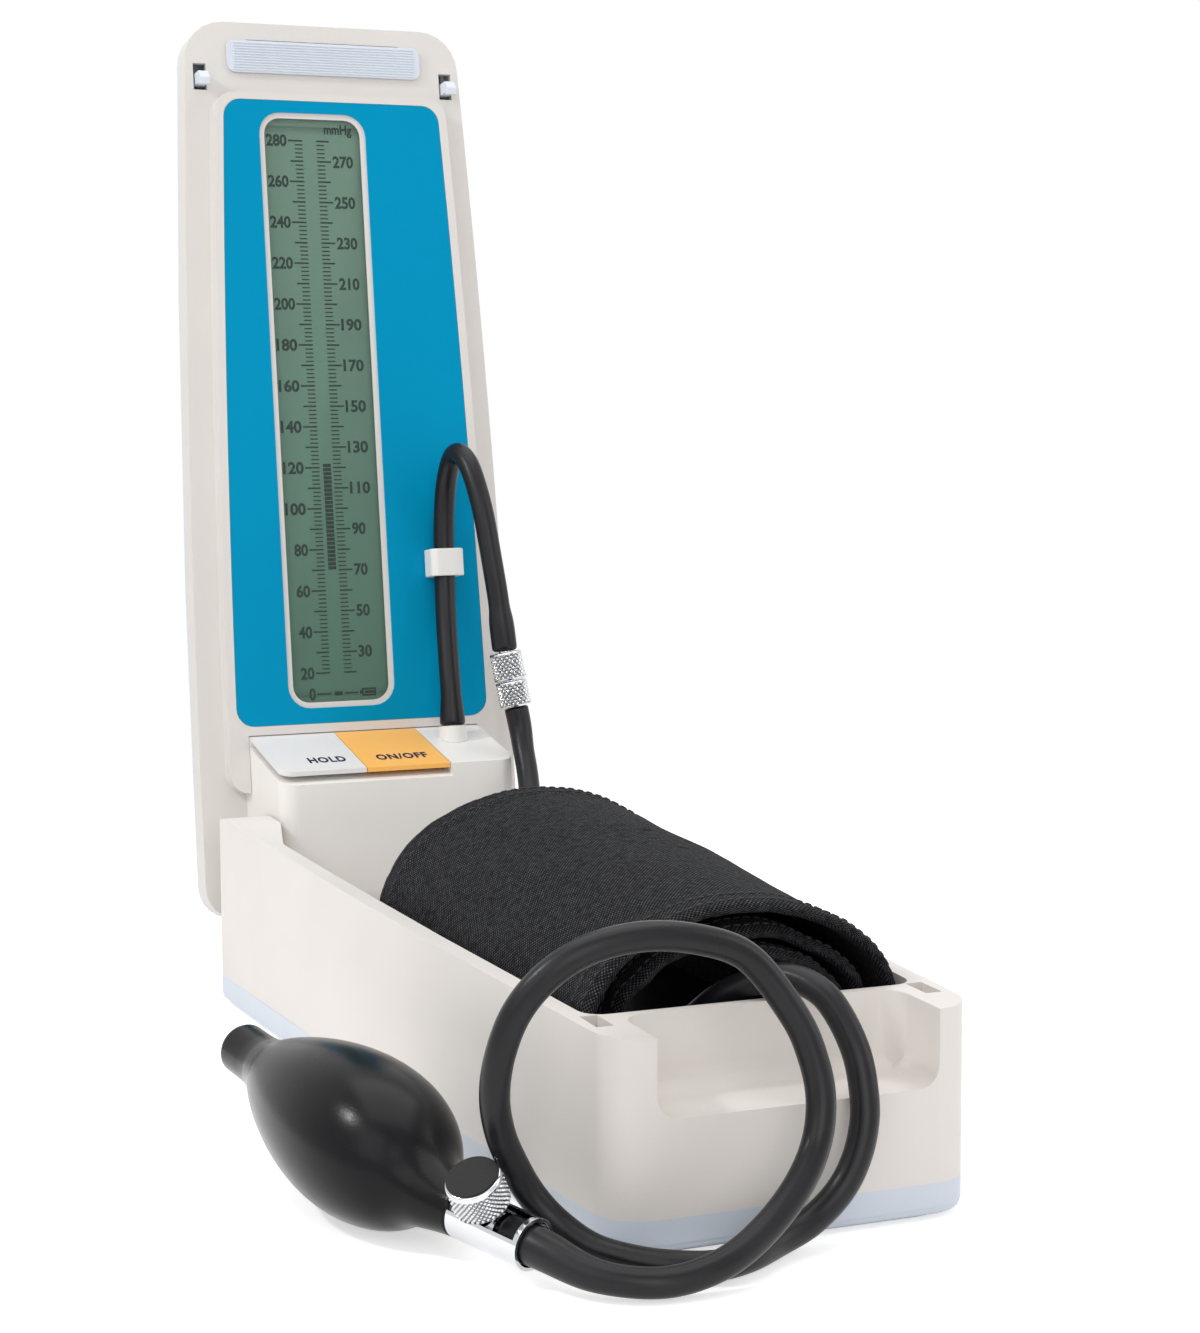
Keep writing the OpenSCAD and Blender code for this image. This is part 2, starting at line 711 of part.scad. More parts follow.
module display_panel() {
    color([0, 0.58, 0.76]) on_lid() translate([0, 0, bezel_h - panel_t]) linear_extrude(panel_t)
        difference() {
            lid_field(panel_margin + fit, panel_low + fit, panel_high - fit, panel_r);
            round_rect(display_left, frame_low, frame_w, frame_high - frame_low, frame_r);
        }
}

module display_window() {
    color([0.8, 0.9, 0.85, 0.4]) on_lid() translate([0, 0, window_top - window_t])
        linear_extrude(window_t) window_outline(fit);
}

glass_top = window_top - window_t;

module display_glass() {
    color([0.47, 0.58, 0.51]) on_lid() translate([0, 0, glass_top - glass_t])
        linear_extrude(glass_t) window_outline(0.6);
}

carrier_top = glass_top - glass_t;

module display_carrier() {
    color("white") on_lid() translate([0, 0, carrier_top - carrier_t]) difference() {
        linear_extrude(carrier_t) window_outline(0.4);
        translate([0, 0, 1]) linear_extrude(carrier_t - 2) window_outline(3);
    }
}

board_top = carrier_top - carrier_t;
board_w = 62;
board_low = frame_low + 15.7;
board_len = frame_high - frame_low - 66;

module circuit_board() {
    color([0.1, 0.4, 0.25]) on_lid() translate([0, 0, board_top - board_t])
        linear_extrude(board_t) round_rect(display_x - board_w / 2 + 4, board_low, board_w, board_len, 2);
}

// Chips on the rear side of the board: sideways place, share of the board's length, width, length
module board_chips() {
    chips = [[0, 0.13, 14, 14], [-16, 0.41, 8, 10], [2, 0.56, 18, 8], [-10, 0.79, 12, 12]];
    color([0.12, 0.12, 0.13]) on_lid() for (c = chips)
        translate([display_x + c[0], board_low + c[1] * board_len, board_top - board_t - 1.6])
            cube([c[2], c[3], 1.6]);
}

sensor_x = 17;
sensor_v = board_low + 16;
sensor_z = board_top - board_t;

module pressure_sensor() {
    color([0.16, 0.16, 0.18]) on_lid() {
        translate([sensor_x - 5, sensor_v - 6, sensor_z - 3]) cube([10, 12, 3]);
        translate([sensor_x, sensor_v - 5.5, sensor_z - 1.6]) rotate([90, 0, 0])
            cylinder(d = 2.6, h = 5.5);
    }
}

module buzzer() {
    color([0.1, 0.1, 0.1]) on_lid() translate([display_x - 18, board_low + 36, sensor_z - 3.2])
        cylinder(d = 11, h = 3.2);
}

// A swept tube: one closed body with a ring of sides at each point of the route
function unit(v) = v / norm(v);
function route_spline(p, i, t) = let (n = len(p) - 1, a = p[max(0, i - 1)], b = p[i],
        c = p[min(n, i + 1)], d = p[min(n, i + 2)])
    0.5 * ((2 * b) + (c - a) * t + (2 * a - 5 * b + 4 * c - d) * t * t
        + (3 * b - a - 3 * c + d) * t * t * t);
function route_points(p, steps) = concat(
    [for (i = [0 : len(p) - 2]) for (k = [0 : steps - 1]) route_spline(p, i, k / steps)],
    [p[len(p) - 1]]);
function heading(q, i) = unit(q[min(len(q) - 1, i + 1)] - q[max(0, i - 1)]);
function side_axis(q, i, last) = let (t = heading(q, i)) unit(last - t * (last * t));
function side_axes(q, i, last) = let (s = side_axis(q, i, last))
    i == len(q) - 1 ? [s] : concat([s], side_axes(q, i + 1, s));
function route_len(q, i = 0) = i >= len(q) - 1 ? 0 : norm(q[i + 1] - q[i]) + route_len(q, i + 1);

module tube(p, d, steps, sides, start_side) {
    q = route_points(p, steps);
    ax = side_axes(q, 0, start_side);
    pts = [for (i = [0 : len(q) - 1]) let (a = ax[i], b = cross(heading(q, i), a))
        for (k = [0 : sides - 1]) let (g = 360 * k / sides)
            q[i] + d / 2 * (a * cos(g) + b * sin(g))];
    n = len(q);
    walls = [for (i = [0 : n - 2], k = [0 : sides - 1]) let (m = (k + 1) % sides)
        each [[i * sides + k, i * sides + m, (i + 1) * sides + m],
            [i * sides + k, (i + 1) * sides + m, (i + 1) * sides + k]]];
    first = [[for (k = [sides - 1 : -1 : 0]) k]];
    last = [[for (k = [0 : sides - 1]) (n - 1) * sides + k]];
    polyhedron(pts, [for (f = concat(first, walls, last)) [for (i = [len(f) - 1 : -1 : 0]) f[i]]]);
}

// Thin air tube inside the lid, from the port's tail up to the sensor
port_tail_v = 40;
air_route = [[port_x, port_tail_v, port_d], [port_x, port_tail_v - 3.4, port_d - 0.8],
    [port_x, 35, 14], [port_x - 0.6, 35.4, 5], [27, 40, -3], [23.6, 48, -6], [19, 62, -6.2],
    [sensor_x, 76, -5], [sensor_x, sensor_v - 11, sensor_z - 1.6]];

module air_tube() {
    color([0.75, 0.73, 0.65]) on_lid() tube(air_route, 3.4, 3, 8, [1, 0, 0]);
}

// The keys' sides, and the key housing's side profile in the lid's frame: y up the lid, z out of it
hold_left = -housing_half + hold_margin;
key_seam = hold_left + hold_w;
power_right = key_seam + power_w;
function top_v(d) = housing_top - housing_fall * d;
function key_v(d) = key_top - key_fall * (d - key_rear);
function deck_v(d) = key_v(d) - key_t - key_gap;

function housing_profile(inset, d0) = let (r = housing_belly_r - inset, d1 = housing_d - inset)
    concat([[-housing_low + inset, d0]],
        [for (i = [0 : arc_steps]) let (a = 90 * i / arc_steps)
            [-housing_low + inset + r - r * cos(a), d1 - r + r * sin(a)]],
        [[top_v(d1) - inset, d1], [top_v(d0) - inset, d0]]);

module across(half) {
    translate([-half, 0, 0]) rotate([90, 0, 90]) linear_extrude(2 * half) children();
}

module housing_plan(inset) {
    r = housing_edge_r - inset;
    half = housing_half - inset;
    d1 = housing_d - inset;
    polygon(concat([[half, -2 * over]], [for (i = [0 : arc_steps]) let (a = 90 * i / arc_steps)
            [half - r + r * cos(a), d1 - r + r * sin(a)]],
        [for (i = [0 : arc_steps]) let (a = 90 + 90 * i / arc_steps)
            [-half + r + r * cos(a), d1 - r + r * sin(a)]], [[-half, -2 * over]]));
}

module housing_block(inset, d0) {
    intersection() {
        across(housing_half - inset) polygon(housing_profile(inset, d0));
        translate([0, housing_top + over, 0]) rotate([90, 0, 0])
            linear_extrude(housing_top + housing_low + 3 * over) housing_plan(inset);
    }
}

// Region over the keys' deck: from the keys' rear edge to the front, in side view
module key_space(drop) {
    d0 = key_rear - key_side_gap;
    d1 = housing_d + over;
    polygon([[deck_v(d0) - drop, d0], [deck_v(d1) - drop, d1], [housing_top + 9, d1],
        [housing_top + 9, d0]]);
}

trench_rear = key_rear - key_side_gap;
trench_front = 13.4;
trench_v = 46.4;
pin_v = 49;
pin_d = 10.2;
knuckle_d = 4.2;
port_r = 3.4;
switch_d = 30;
switch_x = [(hold_left + key_seam) / 2, (key_seam + power_right) / 2];
stem_d = 3;
key_board_t = 1.6;
switch_h = 3.6;
stem_gap = 1.5;
stem_low = deck_v(switch_d) - housing_wall - 3;
board_v = stem_low - stem_gap - switch_h;
housing_screw_d = 2.6;
housing_screw_x = housing_half - 4.1;
housing_screw_at = [for (x = [-housing_screw_x, housing_screw_x], v = [-4, 42]) [x, v]];

module housing_screw_spots() {
    for (p = housing_screw_at) translate([p[0], p[1], 0]) children();
}

module key_housing() {
    trench_left = hold_left + 2;
    key_right = power_right + key_side_gap;
    color([0.93, 0.91, 0.89]) on_lid() difference() {
        union() {
            difference() {
                housing_block(0, 0);
                intersection() {
                    housing_block(housing_wall, -over);
                    difference() {
                        translate([-housing_half, -housing_low, -2 * over])
                            cube([2 * housing_half, 2 * housing_top, housing_d + 3 * over]);
                        across(housing_half) key_space(housing_wall);
                        translate([-housing_half, trench_v - housing_wall, trench_rear - housing_wall])
                            cube([housing_half + key_right + housing_wall, 20,
                                trench_front - trench_rear + 2 * housing_wall]);
                        for (s = [-1, 1]) translate([s * housing_half, 0, hinge_to_face])
                            rotate([0, -s * 90, 0]) cylinder(d = hinge_pin_d + 6, h = pin_in_housing + 2);
                        housing_screw_spots() cylinder_from(-2 * over, 12, 6);
                        battery_holder();
                    }
                }
                intersection() {
                    across(housing_half + over) key_space(0);
                    translate([-housing_half - over, 0, 0])
                        cube([housing_half + over + key_right, 90, 90]);
                }
                translate([trench_left, trench_v, trench_rear])
                    cube([key_right - trench_left, 20, trench_front - trench_rear]);
            }
            for (x = [hold_left + 4, key_seam - 4, key_seam + 4, power_right - 4])
                translate([x - 1, trench_v - 0.2, pin_d - 2.1]) cube([2, pin_v - trench_v + 2.2, 4.2]);
        }
        for (s = [-1, 1]) translate([s * (housing_half + over), 0, hinge_to_face])
            rotate([0, -s * 90, 0]) cylinder(r = hinge_pin_d / 2 + pin_play, h = pin_in_housing + over);
        translate([hold_left + 1, pin_v, pin_d]) rotate([0, 90, 0])
            cylinder(d = key_pin_d, h = power_right - hold_left - 2);
        for (x = switch_x) translate([x, 0, switch_d]) rotate([-90, 0, 0])
            cylinder(r = stem_d / 2 + 1, h = housing_top);
        translate([port_x, 30, port_d]) rotate([-90, 0, 0]) cylinder(r = port_r, h = 40);
        housing_screw_spots() cylinder_from(-over, 10, housing_screw_d);
    }
}

module housing_screws() {
    color("silver") on_lid() housing_screw_spots() {
        cylinder_from(-shell_t - 1.5, -shell_t, 5);
        cylinder_from(-shell_t - 0.1, 9, housing_screw_d);
    }
}

module key_pin() {
    color("silver") on_lid() translate([hold_left + 1, pin_v, pin_d]) rotate([0, 90, 0])
        cylinder(d = key_pin_d, h = power_right - hold_left - 2);
}

// A key: sloping plate with a round front corner, two knuckles on the pin and a stem over its switch
module key(x0, x1, x_switch, corner_r) {
    w = x1 - x0;
    difference() {
        union() {
            translate([x0, 0, 0]) rotate([90, 0, 90]) linear_extrude(w)
                polygon([[key_v(key_rear), key_rear], [key_v(key_front), key_front],
                    [key_v(key_front) - key_t, key_front], [key_v(key_rear) - key_t, key_rear]]);
            for (x = [x0 + 6.4, x1 - 9.4]) {
                translate([x, pin_v, pin_d]) rotate([0, 90, 0]) cylinder(d = knuckle_d, h = 3);
                translate([x, pin_v, pin_d - 1.2])
                    cube([3, key_v(pin_d) - key_t - pin_v + 0.4, 2.4]);
            }
            translate([x_switch, stem_low, switch_d]) rotate([-90, 0, 0])
                cylinder(d = stem_d, h = key_v(switch_d) - key_t - stem_low + 0.4);
        }
        translate([x0 - over, pin_v, pin_d]) rotate([0, 90, 0])
            cylinder(r = key_pin_d / 2 + pin_play, h = w + 2 * over);
        intersection() {
            translate([x0 - over, -over, key_front - 4.4]) cube([5.4, 90, 9]);
            difference() {
                translate([x0 - 2 * over, 0, key_front - 4.4]) cube([8, 90, 9]);
                translate([x0 + 4.4, 0, key_front - 4.4]) rotate([-90, 0, 0])
                    cylinder(r = corner_r, h = 90);
            }
        }
    }
}

module hold_key() {
    color([0.9, 0.9, 0.9]) on_lid() key(hold_left, key_seam - key_side_gap / 2, switch_x[0], 4.4);
}

module power_key() {
    color([0.98, 0.7, 0.33]) on_lid() key(key_seam + key_side_gap / 2, power_right, switch_x[1], 9);
}

// Small board under the keys with a push switch for each
module key_board() {
    x0 = hold_left + 6;
    color([0.1, 0.4, 0.25]) on_lid() {
        translate([x0, board_v - key_board_t, switch_d - 8])
            cube([power_right - 4 - x0, key_board_t, 16]);
        for (x = switch_x) {
            translate([x - 3, board_v, switch_d - 3]) cube([6, switch_h - 1, 6]);
            translate([x, board_v, switch_d]) rotate([-90, 0, 0]) cylinder(d = 3.2, h = switch_h);
        }
        for (x = [x0 + 2, power_right - 8])
            translate([x, board_v - key_board_t, switch_d + 8])
                cube([2.4, key_board_t, housing_d - housing_wall - switch_d - 8]);
    }
}

module on_port() {
    translate([port_x, 0, port_d]) rotate([-90, 0, 0]) children();
}

module air_port() {
    base_v = top_v(port_d);
    near = port_d - port_collar_d;
    far = port_d + port_collar_d;
    color("white") on_lid() difference() {
        union() {
            on_port() cylinder_from(port_tail_v, base_v + 1, 2 * port_r);
            difference() {
                on_port() cylinder_from(base_v - 2.4, base_v + port_collar_h, port_collar_d);
                translate([port_x, 0, 0]) across(port_collar_d)
                    polygon([[0, near], [top_v(near) + 0.05, near], [top_v(far) + 0.05, far], [0, far]]);
            }
            on_port() cylinder_from(base_v + port_collar_h - 0.1, base_v + port_collar_h + 9, hose_bore);
        }
        on_port() cylinder_from(port_tail_v - over, base_v + port_collar_h + 10, 1.8);
    }
}

port_top_v = top_v(port_d) + port_collar_h;
clip_d = bezel_h + 5.3;
coupling_top = [42.5, 80.5, 42];
coupling_axis = unit([3.1, -19.9, 0]);
port_route = [[port_x, port_top_v, port_d], [29.4, 68, 19.4], [30, 80, 17.2], [31, 96, 14.2],
    [clip_x, clip_v, clip_d], [32.4, 131, 13.6], [32.8, 143.8, 17], [33.4, 152.2, 23],
    [34.2, 153.2, 29], [35.6, 147, 35.4], [37.4, 132, 40.4], [39, 114, 42.6], [40.8, 99, 42.6], coupling_top];

module port_hose() {
    color([0.16, 0.16, 0.17]) on_lid() tube(port_route, hose_d, 3, 12, [0, 0, 1]);
}

// The clip is a band round the hose with its foot on the panel
module hose_clip() {
    seat = bezel_h;
    outer = clip_d + hose_d / 2 + 1.2;
    color("white") on_lid() difference() {
        translate([clip_x, clip_v + clip_h / 2, 0]) rotate([90, 0, 0]) linear_extrude(clip_h)
            round_rect(-clip_w / 2, seat, clip_w, outer - seat, 2.5);
        translate([clip_x, clip_v + clip_h, clip_d]) rotate([90, 0, 0])
            cylinder(r = hose_d / 2 + 0.3, h = 2 * clip_h);
    }
}

// Puts the children at a point of the coupling's axis, z along the axis away from the lid's hose
module on_coupling(along) {
    p = coupling_top + coupling_axis * along;
    turn = atan2(coupling_axis[0], -coupling_axis[1]);
    translate(p) rotate([0, 0, turn]) rotate([90, 0, 0]) children();
}

module knurl(d, len, groove) {
    difference() {
        cylinder(d = d, h = len);
        for (i = [0 : 17]) rotate([0, 0, 20 * i]) translate([d / 2, 0, -over])
            cylinder(d = groove, h = len + 2 * over, $fn = 4);
    }
}

module coupling_socket() {
    color("silver") on_lid() on_coupling(0) difference() {
        union() {
            knurl(coupling_d, socket_len, 0.9);
            cylinder_from(-9, 0.1, hose_bore);
            cylinder_from(socket_len - 0.1, socket_len + 4, 4.2);
        }
        cylinder_from(-10, socket_len + 6, 1.8);
    }
}

module coupling_ring() {
    color("silver") on_lid() on_coupling(socket_len + free) difference() {
        knurl(coupling_d - 0.2, ring_len - free, 0.9);
        cylinder_from(-over, 5, 4.2 + 2 * free);
        cylinder_from(-over, ring_len + 6, 1.8);
    }
}

module latch_slider() {
    top = slider_t + 0.3;
    pitch = slider_len / (slider_ribs + 1);
    inner = -shell_t - 0.4 - 1.6;
    color([0.81, 0.84, 0.86]) on_lid() {
        translate([0, 0, 0.3]) linear_extrude(slider_t - 0.6)
            round_rect(-slider_w / 2, slider_low, slider_w, slider_len, 3);
        for (i = [1 : slider_ribs]) translate([-slider_w / 2 + 2.4, slider_low + i * pitch - 0.25, 0.3])
            cube([slider_w - 4.8, 0.5, slider_t - 0.3]);
        translate([-bridge_half, bridge_low, inner]) cube([2 * bridge_half, bridge_len, top - inner - 1]);
        translate([-hook_x - hook_w / 2, hook_v - 1, inner])
            cube([2 * hook_x + hook_w, 4.4, 1.6]);
        translate([-bridge_half, hook_v, inner])
            cube([2 * bridge_half, bridge_low + bridge_len - hook_v, 1.6]);
        for (s = [-1, 1]) translate([s * hook_x - hook_w / 2, hook_v - 1, 0])
            rotate([90, 0, 90]) linear_extrude(hook_w)
                polygon([[0, inner], [hook_t, inner], [hook_t, hook_reach - 2.4], [1.4, hook_reach],
                    [-1, hook_reach], [-1, hook_reach - 2], [0, hook_reach - 2.6]]);
    }
}

// Springs that push the slider's cross bar down the lid
spring_low = bridge_low + bridge_len + fit;
spring_len = lid_top - shell_t - fit - spring_low;
module latch_springs() {
    color("silver") on_lid() for (s = [-1, 1])
        translate([s * 20, spring_low, -shell_t - 1.7]) rotate([-90, 0, 0]) difference() {
            cylinder(d = 3, h = spring_len);
            translate([0, 0, -over]) cylinder(d = 2, h = spring_len + 2 * over);
        }
}

// The rolled cuff: a band that winds inwards under a domed crown, drawn in end view
cuff_y0 = -half_len + cuff_front;
cuff_floor = floor_top_z + 0.3;
cuff_turns = 2.48;
cuff_start = -89;
cuff_steps = 80;
// Exponents of the roll's lower half: 1 is round, less is squarer
cuff_side_form = 0.7;
cuff_floor_form = 0.6;

// Rear end of the roll at angle a, shrunk by the depth of the layers outside it: a round crown on
// a squarer foot, with its height measured from the underside
function cuff_edge(a, depth) = let (rx = cuff_w / 2 - depth, top = cuff_h - 2 * depth,
        side = cos(a), up = sin(a))
    [rx * (abs(side) < 0.001 ? 0 : sign(side) * pow(abs(side), up > 0 ? 1 : cuff_side_form)),
     depth + top / 2 + (top / 2) * sign(up) * pow(abs(up), up > 0 ? 1 : cuff_floor_form)];
// The first stretch lies on the outside of the roll, then the band dips under it
cuff_outside = 0.8;
function cuff_layers(wound) = wound < cuff_outside ? 0
    : wound < 1 ? (wound - cuff_outside) / (1 - cuff_outside) : wound;
function cuff_point(i, extra) = let (wound = cuff_turns * i / cuff_steps)
    cuff_edge(cuff_start + 360 * wound, cuff_pitch * cuff_layers(wound) + extra);

module cuff() {
    outer = [for (i = [0 : cuff_steps]) cuff_point(i, 0)];
    inner = [for (i = [cuff_steps : -1 : 0]) cuff_point(i, cuff_t)];
    color([0.17, 0.17, 0.19]) translate([0, cuff_y0 + cuff_len, cuff_floor]) rotate([90, 0, 0])
        linear_extrude(cuff_len, scale = [cuff_front_share, cuff_sag], slices = 1)
            polygon(concat(outer, inner));
}

// The bladder's end lies flat inside the roll
bladder_z = 42;
bladder_w = 44;
bladder_t = 3;
bladder_y0 = cuff_y0 + 14;
bladder_len = cuff_len - 28;
hose_in_bladder = 6;
module bladder() {
    color([0.2, 0.2, 0.2]) translate([-bladder_w / 2, bladder_y0, bladder_z])
        cube([bladder_w, bladder_len, bladder_t]);
}

// A point of the lid's frame in the frame of the base
function from_lid(p) = let (d = p[2] - hinge_to_face)
    [p[0], hinge_y + p[1] * sin(lean) - d * cos(lean), hinge_z + p[1] * cos(lean) + d * sin(lean)];

// Route of the hose from the coupling down into the tray and the bladder's rear end
coupling_end = coupling_top + coupling_axis * (socket_len + ring_len + free);
cuff_drop = [[46.7, -7.6, 93.4], [46.4, -11.1, 86.4], [45.8, -15.9, 79.8], [44.6, -21.1, 73.4],
    [42.4, -27.9, 66], [40, -40.1, 56], [36.6, -56.1, 48.6], [31, -76.1, 44.6], [24, -97.1, 43.6],
    [18, -118.1, 43.4]];
cuff_route = concat([from_lid(coupling_end)], [for (p = cuff_drop) p + [0, hinge_y, 0]],
    [[14, bladder_y0 + bladder_len - hose_in_bladder, bladder_z + bladder_t / 2]]);

module cuff_hose() {
    color([0.16, 0.16, 0.17]) tube(cuff_route, hose_d, 3, 12, [1, 0, 0]);
}

// The valve's axis runs forwards and down from the bulb's end
cradle_top = [-84.4, -half_len + 16.8, 13];
cradle_turn = 24.2;
cradle_dip = 7.6;
cradle_roll = 31;
knob_along = 9.8;
block_len = 14;
function cradle_point(along) = cradle_top + along
    * [sin(cradle_turn) * cos(cradle_dip), -cos(cradle_turn) * cos(cradle_dip), -sin(cradle_dip)];

// Route of the hose from the valve, once round its ring and over the front wall into the cuff.
// Its middle part is measured from the front face.
inflation_ring = [
    [-72.9, -9, 9], [-66, -20, 5.9], [-55.7, -27, 4.6], [-45, -29, 5], [-33, -28.4, 8.2],
    [-21, -25, 14.4], [-11.5, -21.6, 22.4], [-5.2, -18, 31], [-3, -15.6, 41], [-4.4, -13.6, 51],
    [-8.4, -11.6, 61], [-19, -8.4, 75.4], [-32.4, -7.6, 81], [-47, -7, 82.8], [-60.5, -6, 80.6],
    [-70, -4, 75], [-77, -1.4, 66.4], [-80.6, 1, 55.8], [-81.2, 3.6, 45], [-78.6, 7, 35],
    [-74.6, 9, 26.4], [-69.4, 9.4, 17.4], [-64, 6, 10.6], [-57.6, -1, 5.6], [-50, -10, 4.1],
    [-42.6, -17, 4], [-34, -20.6, 4], [-24, -18, 4], [-13, -12, 4.6], [-2, -9, 7.6], [6.6, -8, 14],
    [11.6, -7.6, 22], [14.4, -6.4, 31], [15.2, -4, 39], [15, -0.6, 47], [13.4, 5, 55],
    [11, 11, 60.4], [7, 19, 62.8], [2, 26, 61.4], [-5, 35, 56], [-9, 43, 49]];
inflation_route = concat([cradle_point(block_len + 1)],
    [for (p = inflation_ring) p - [0, half_len, 0]],
    [[-10, bladder_y0 + hose_in_bladder, bladder_z + bladder_t / 2]]);

module inflation_hose() {
    color([0.16, 0.16, 0.17]) tube(inflation_route, hose_d, 2, 10, [0, 0, 1]);
}

echo(port_hose_mm = route_len(route_points(port_route, 8)),
    cuff_hose_mm = route_len(route_points(cuff_route, 8)),
    inflation_hose_mm = route_len(route_points(inflation_route, 8)));

// The bulb lies on the table with its valve end towards the front
bulb_centre = [-97, -half_len + 74.75, 23.3];
bulb_turn = 8.7;
bulb_dip = 6.3;
bulb_steps = 26;
function bulb_radius(s) = bulb_r * sqrt(max(0, 1 - s * s)) * (1 + bulb_taper * s);
// The bulb's nose: a cone that starts inside the bulb and runs into the valve's rear end
nose_at = 34;
nose_r = [15.2, 6.9];
nose_over = 3;
nose_from = bulb_centre + nose_at
    * [sin(bulb_turn) * cos(bulb_dip), -cos(bulb_turn) * cos(bulb_dip), -sin(bulb_dip)];
nose_way = cradle_top - nose_from;

module on_bulb() {
    translate(bulb_centre) rotate([0, 0, bulb_turn]) rotate([90 + bulb_dip, 0, 0]) children();
}

module bulb() {
    half = bulb_len / 2;
    bore = 5;
    inner = half - bulb_wall;
    color([0.13, 0.13, 0.14]) difference() {
        union() {
            on_bulb() rotate_extrude($fn = 64) polygon([for (i = [0 : bulb_steps])
                let (s = -cos(180 * i / bulb_steps)) [bulb_radius(s), s * half]]);
            on_bulb() cylinder_from(-half - neck_len, -half + 6, neck_d);
            on_bulb() translate([0, 0, -half])
                cylinder(r1 = neck_d / 2, r2 = bulb_radius(-0.8), h = 0.2 * half);
            translate(nose_from)
                rotate([0, acos(nose_way[2] / norm(nose_way)), atan2(nose_way[1], nose_way[0])])
                    cylinder(r1 = nose_r[0], r2 = nose_r[1] - (nose_r[0] - nose_r[1]) * nose_over
                        / norm(nose_way), h = norm(nose_way) + nose_over);
        }
        on_bulb() rotate_extrude($fn = 64) polygon([for (i = [0 : bulb_steps])
            let (s = -cos(180 * i / bulb_steps))
                [bulb_radius(s) * (1 - bulb_wall / bulb_r), s * inner]]);
        on_bulb() cylinder_from(-half - neck_len - over, -half + 8, 2 * bore);
        on_cradle() cylinder_from(-17, over, bore);
        on_cradle() translate([-2 * bulb_r, -2 * bulb_r, -0.05]) cube(4 * bulb_r);
    }
}

// Air inlet valve pressed into the neck
module bulb_inlet_valve() {
    half = bulb_len / 2;
    color([0.25, 0.25, 0.26]) on_bulb() difference() {
        cylinder_from(-half - neck_len, -half - 3, 10);
        cylinder_from(-half - neck_len - over, -half, 2.6);
    }
}

module on_cradle() {
    translate(cradle_top) rotate([0, 0, cradle_turn]) rotate([90 + cradle_dip, 0, 0])
        rotate([0, 0, cradle_roll]) children();
}

// Metal tube that holds the valve and guides the hose, with a slot along its top for the screw
cradle_wall = 0.9;
cradle_slot = 8.4;
module valve_cradle() {
    ring = 1.4;
    color("silver") on_cradle() difference() {
        cylinder_from(0, cradle_len, cradle_d);
        cylinder_from(-over, cradle_len + over, cradle_d - 2 * cradle_wall);
        translate([-cradle_slot / 2, 0, -over]) cube([cradle_slot, cradle_d, cradle_len - ring + over]);
    }
}

// Valve block: a plug in the cradle's rear end with the bulb's spigot behind, the hose's barb in
// front and a boss that stands out through the slot with the release screw
boss_d = 7;
knob_seat = cradle_d / 2 + 0.8;
screw_d = 4;
screw_low = 1.2;
module valve_block() {
    color("silver") on_cradle() difference() {
        union() {
            cylinder_from(-7, 0.1, 5);
            cylinder_from(0, 4, cradle_d - 2 * cradle_wall - 0.1);
            cylinder_from(0, block_len, 9);
            cylinder_from(block_len - 0.1, block_len + 9, hose_bore);
            translate([0, 0, knob_along]) rotate([-90, 0, 0]) cylinder(d = boss_d, h = knob_seat);
        }
        translate([0, screw_low - 0.2, knob_along]) rotate([-90, 0, 0])
            cylinder(r = screw_d / 2 + pin_play, h = cradle_d);
        translate([0, 0, knob_along]) rotate([-90, 0, 0]) cylinder(d = 1.4, h = screw_low);
        cylinder_from(-8, block_len + 10, 1.8);
    }
}

module release_screw() {
    color("silver") on_cradle() translate([0, screw_low, knob_along]) rotate([-90, 0, 0])
        cylinder(d = screw_d, h = knob_seat + free + 1 - screw_low);
}

module release_knob() {
    color("silver") on_cradle() translate([0, knob_seat + free + knob_h - 0.6, knob_along])
        rotate([90, 0, 0]) difference() {
            knurl(knob_d, knob_h - 0.6, 0.8);
            translate([0, 0, knob_h - 0.6 - 1]) cylinder(d = screw_d, h = 3);
        }
}

module knob_cap() {
    color([0.15, 0.15, 0.15]) on_cradle() translate([0, knob_seat + free + knob_h, knob_along])
        rotate([90, 0, 0]) cylinder(d = knob_d - 1.2, h = 0.6);
}

base_tray();
bottom_cover();
rubber_feet();
cover_screws();
hinge_pins();
hinge_washers();
lid_front();
lid_back();
lid_screws();
display_panel();
display_window();
display_glass();
display_carrier();
circuit_board();
board_chips();
pressure_sensor();
air_tube();
buzzer();
key_housing();
housing_screws();
key_board();
key_pin();
batteries();
battery_contacts();
battery_door();
air_port();
hose_clip();
port_hose();
coupling_socket();
coupling_ring();
latch_slider();
latch_springs();
hold_key();
power_key();
cuff();
bladder();
cuff_hose();
inflation_hose();
bulb();
bulb_inlet_valve();
valve_cradle();
valve_block();
release_screw();
release_knob();
knob_cap();
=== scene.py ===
import math

import bmesh
import bpy
from mathutils import Matrix, Vector, noise


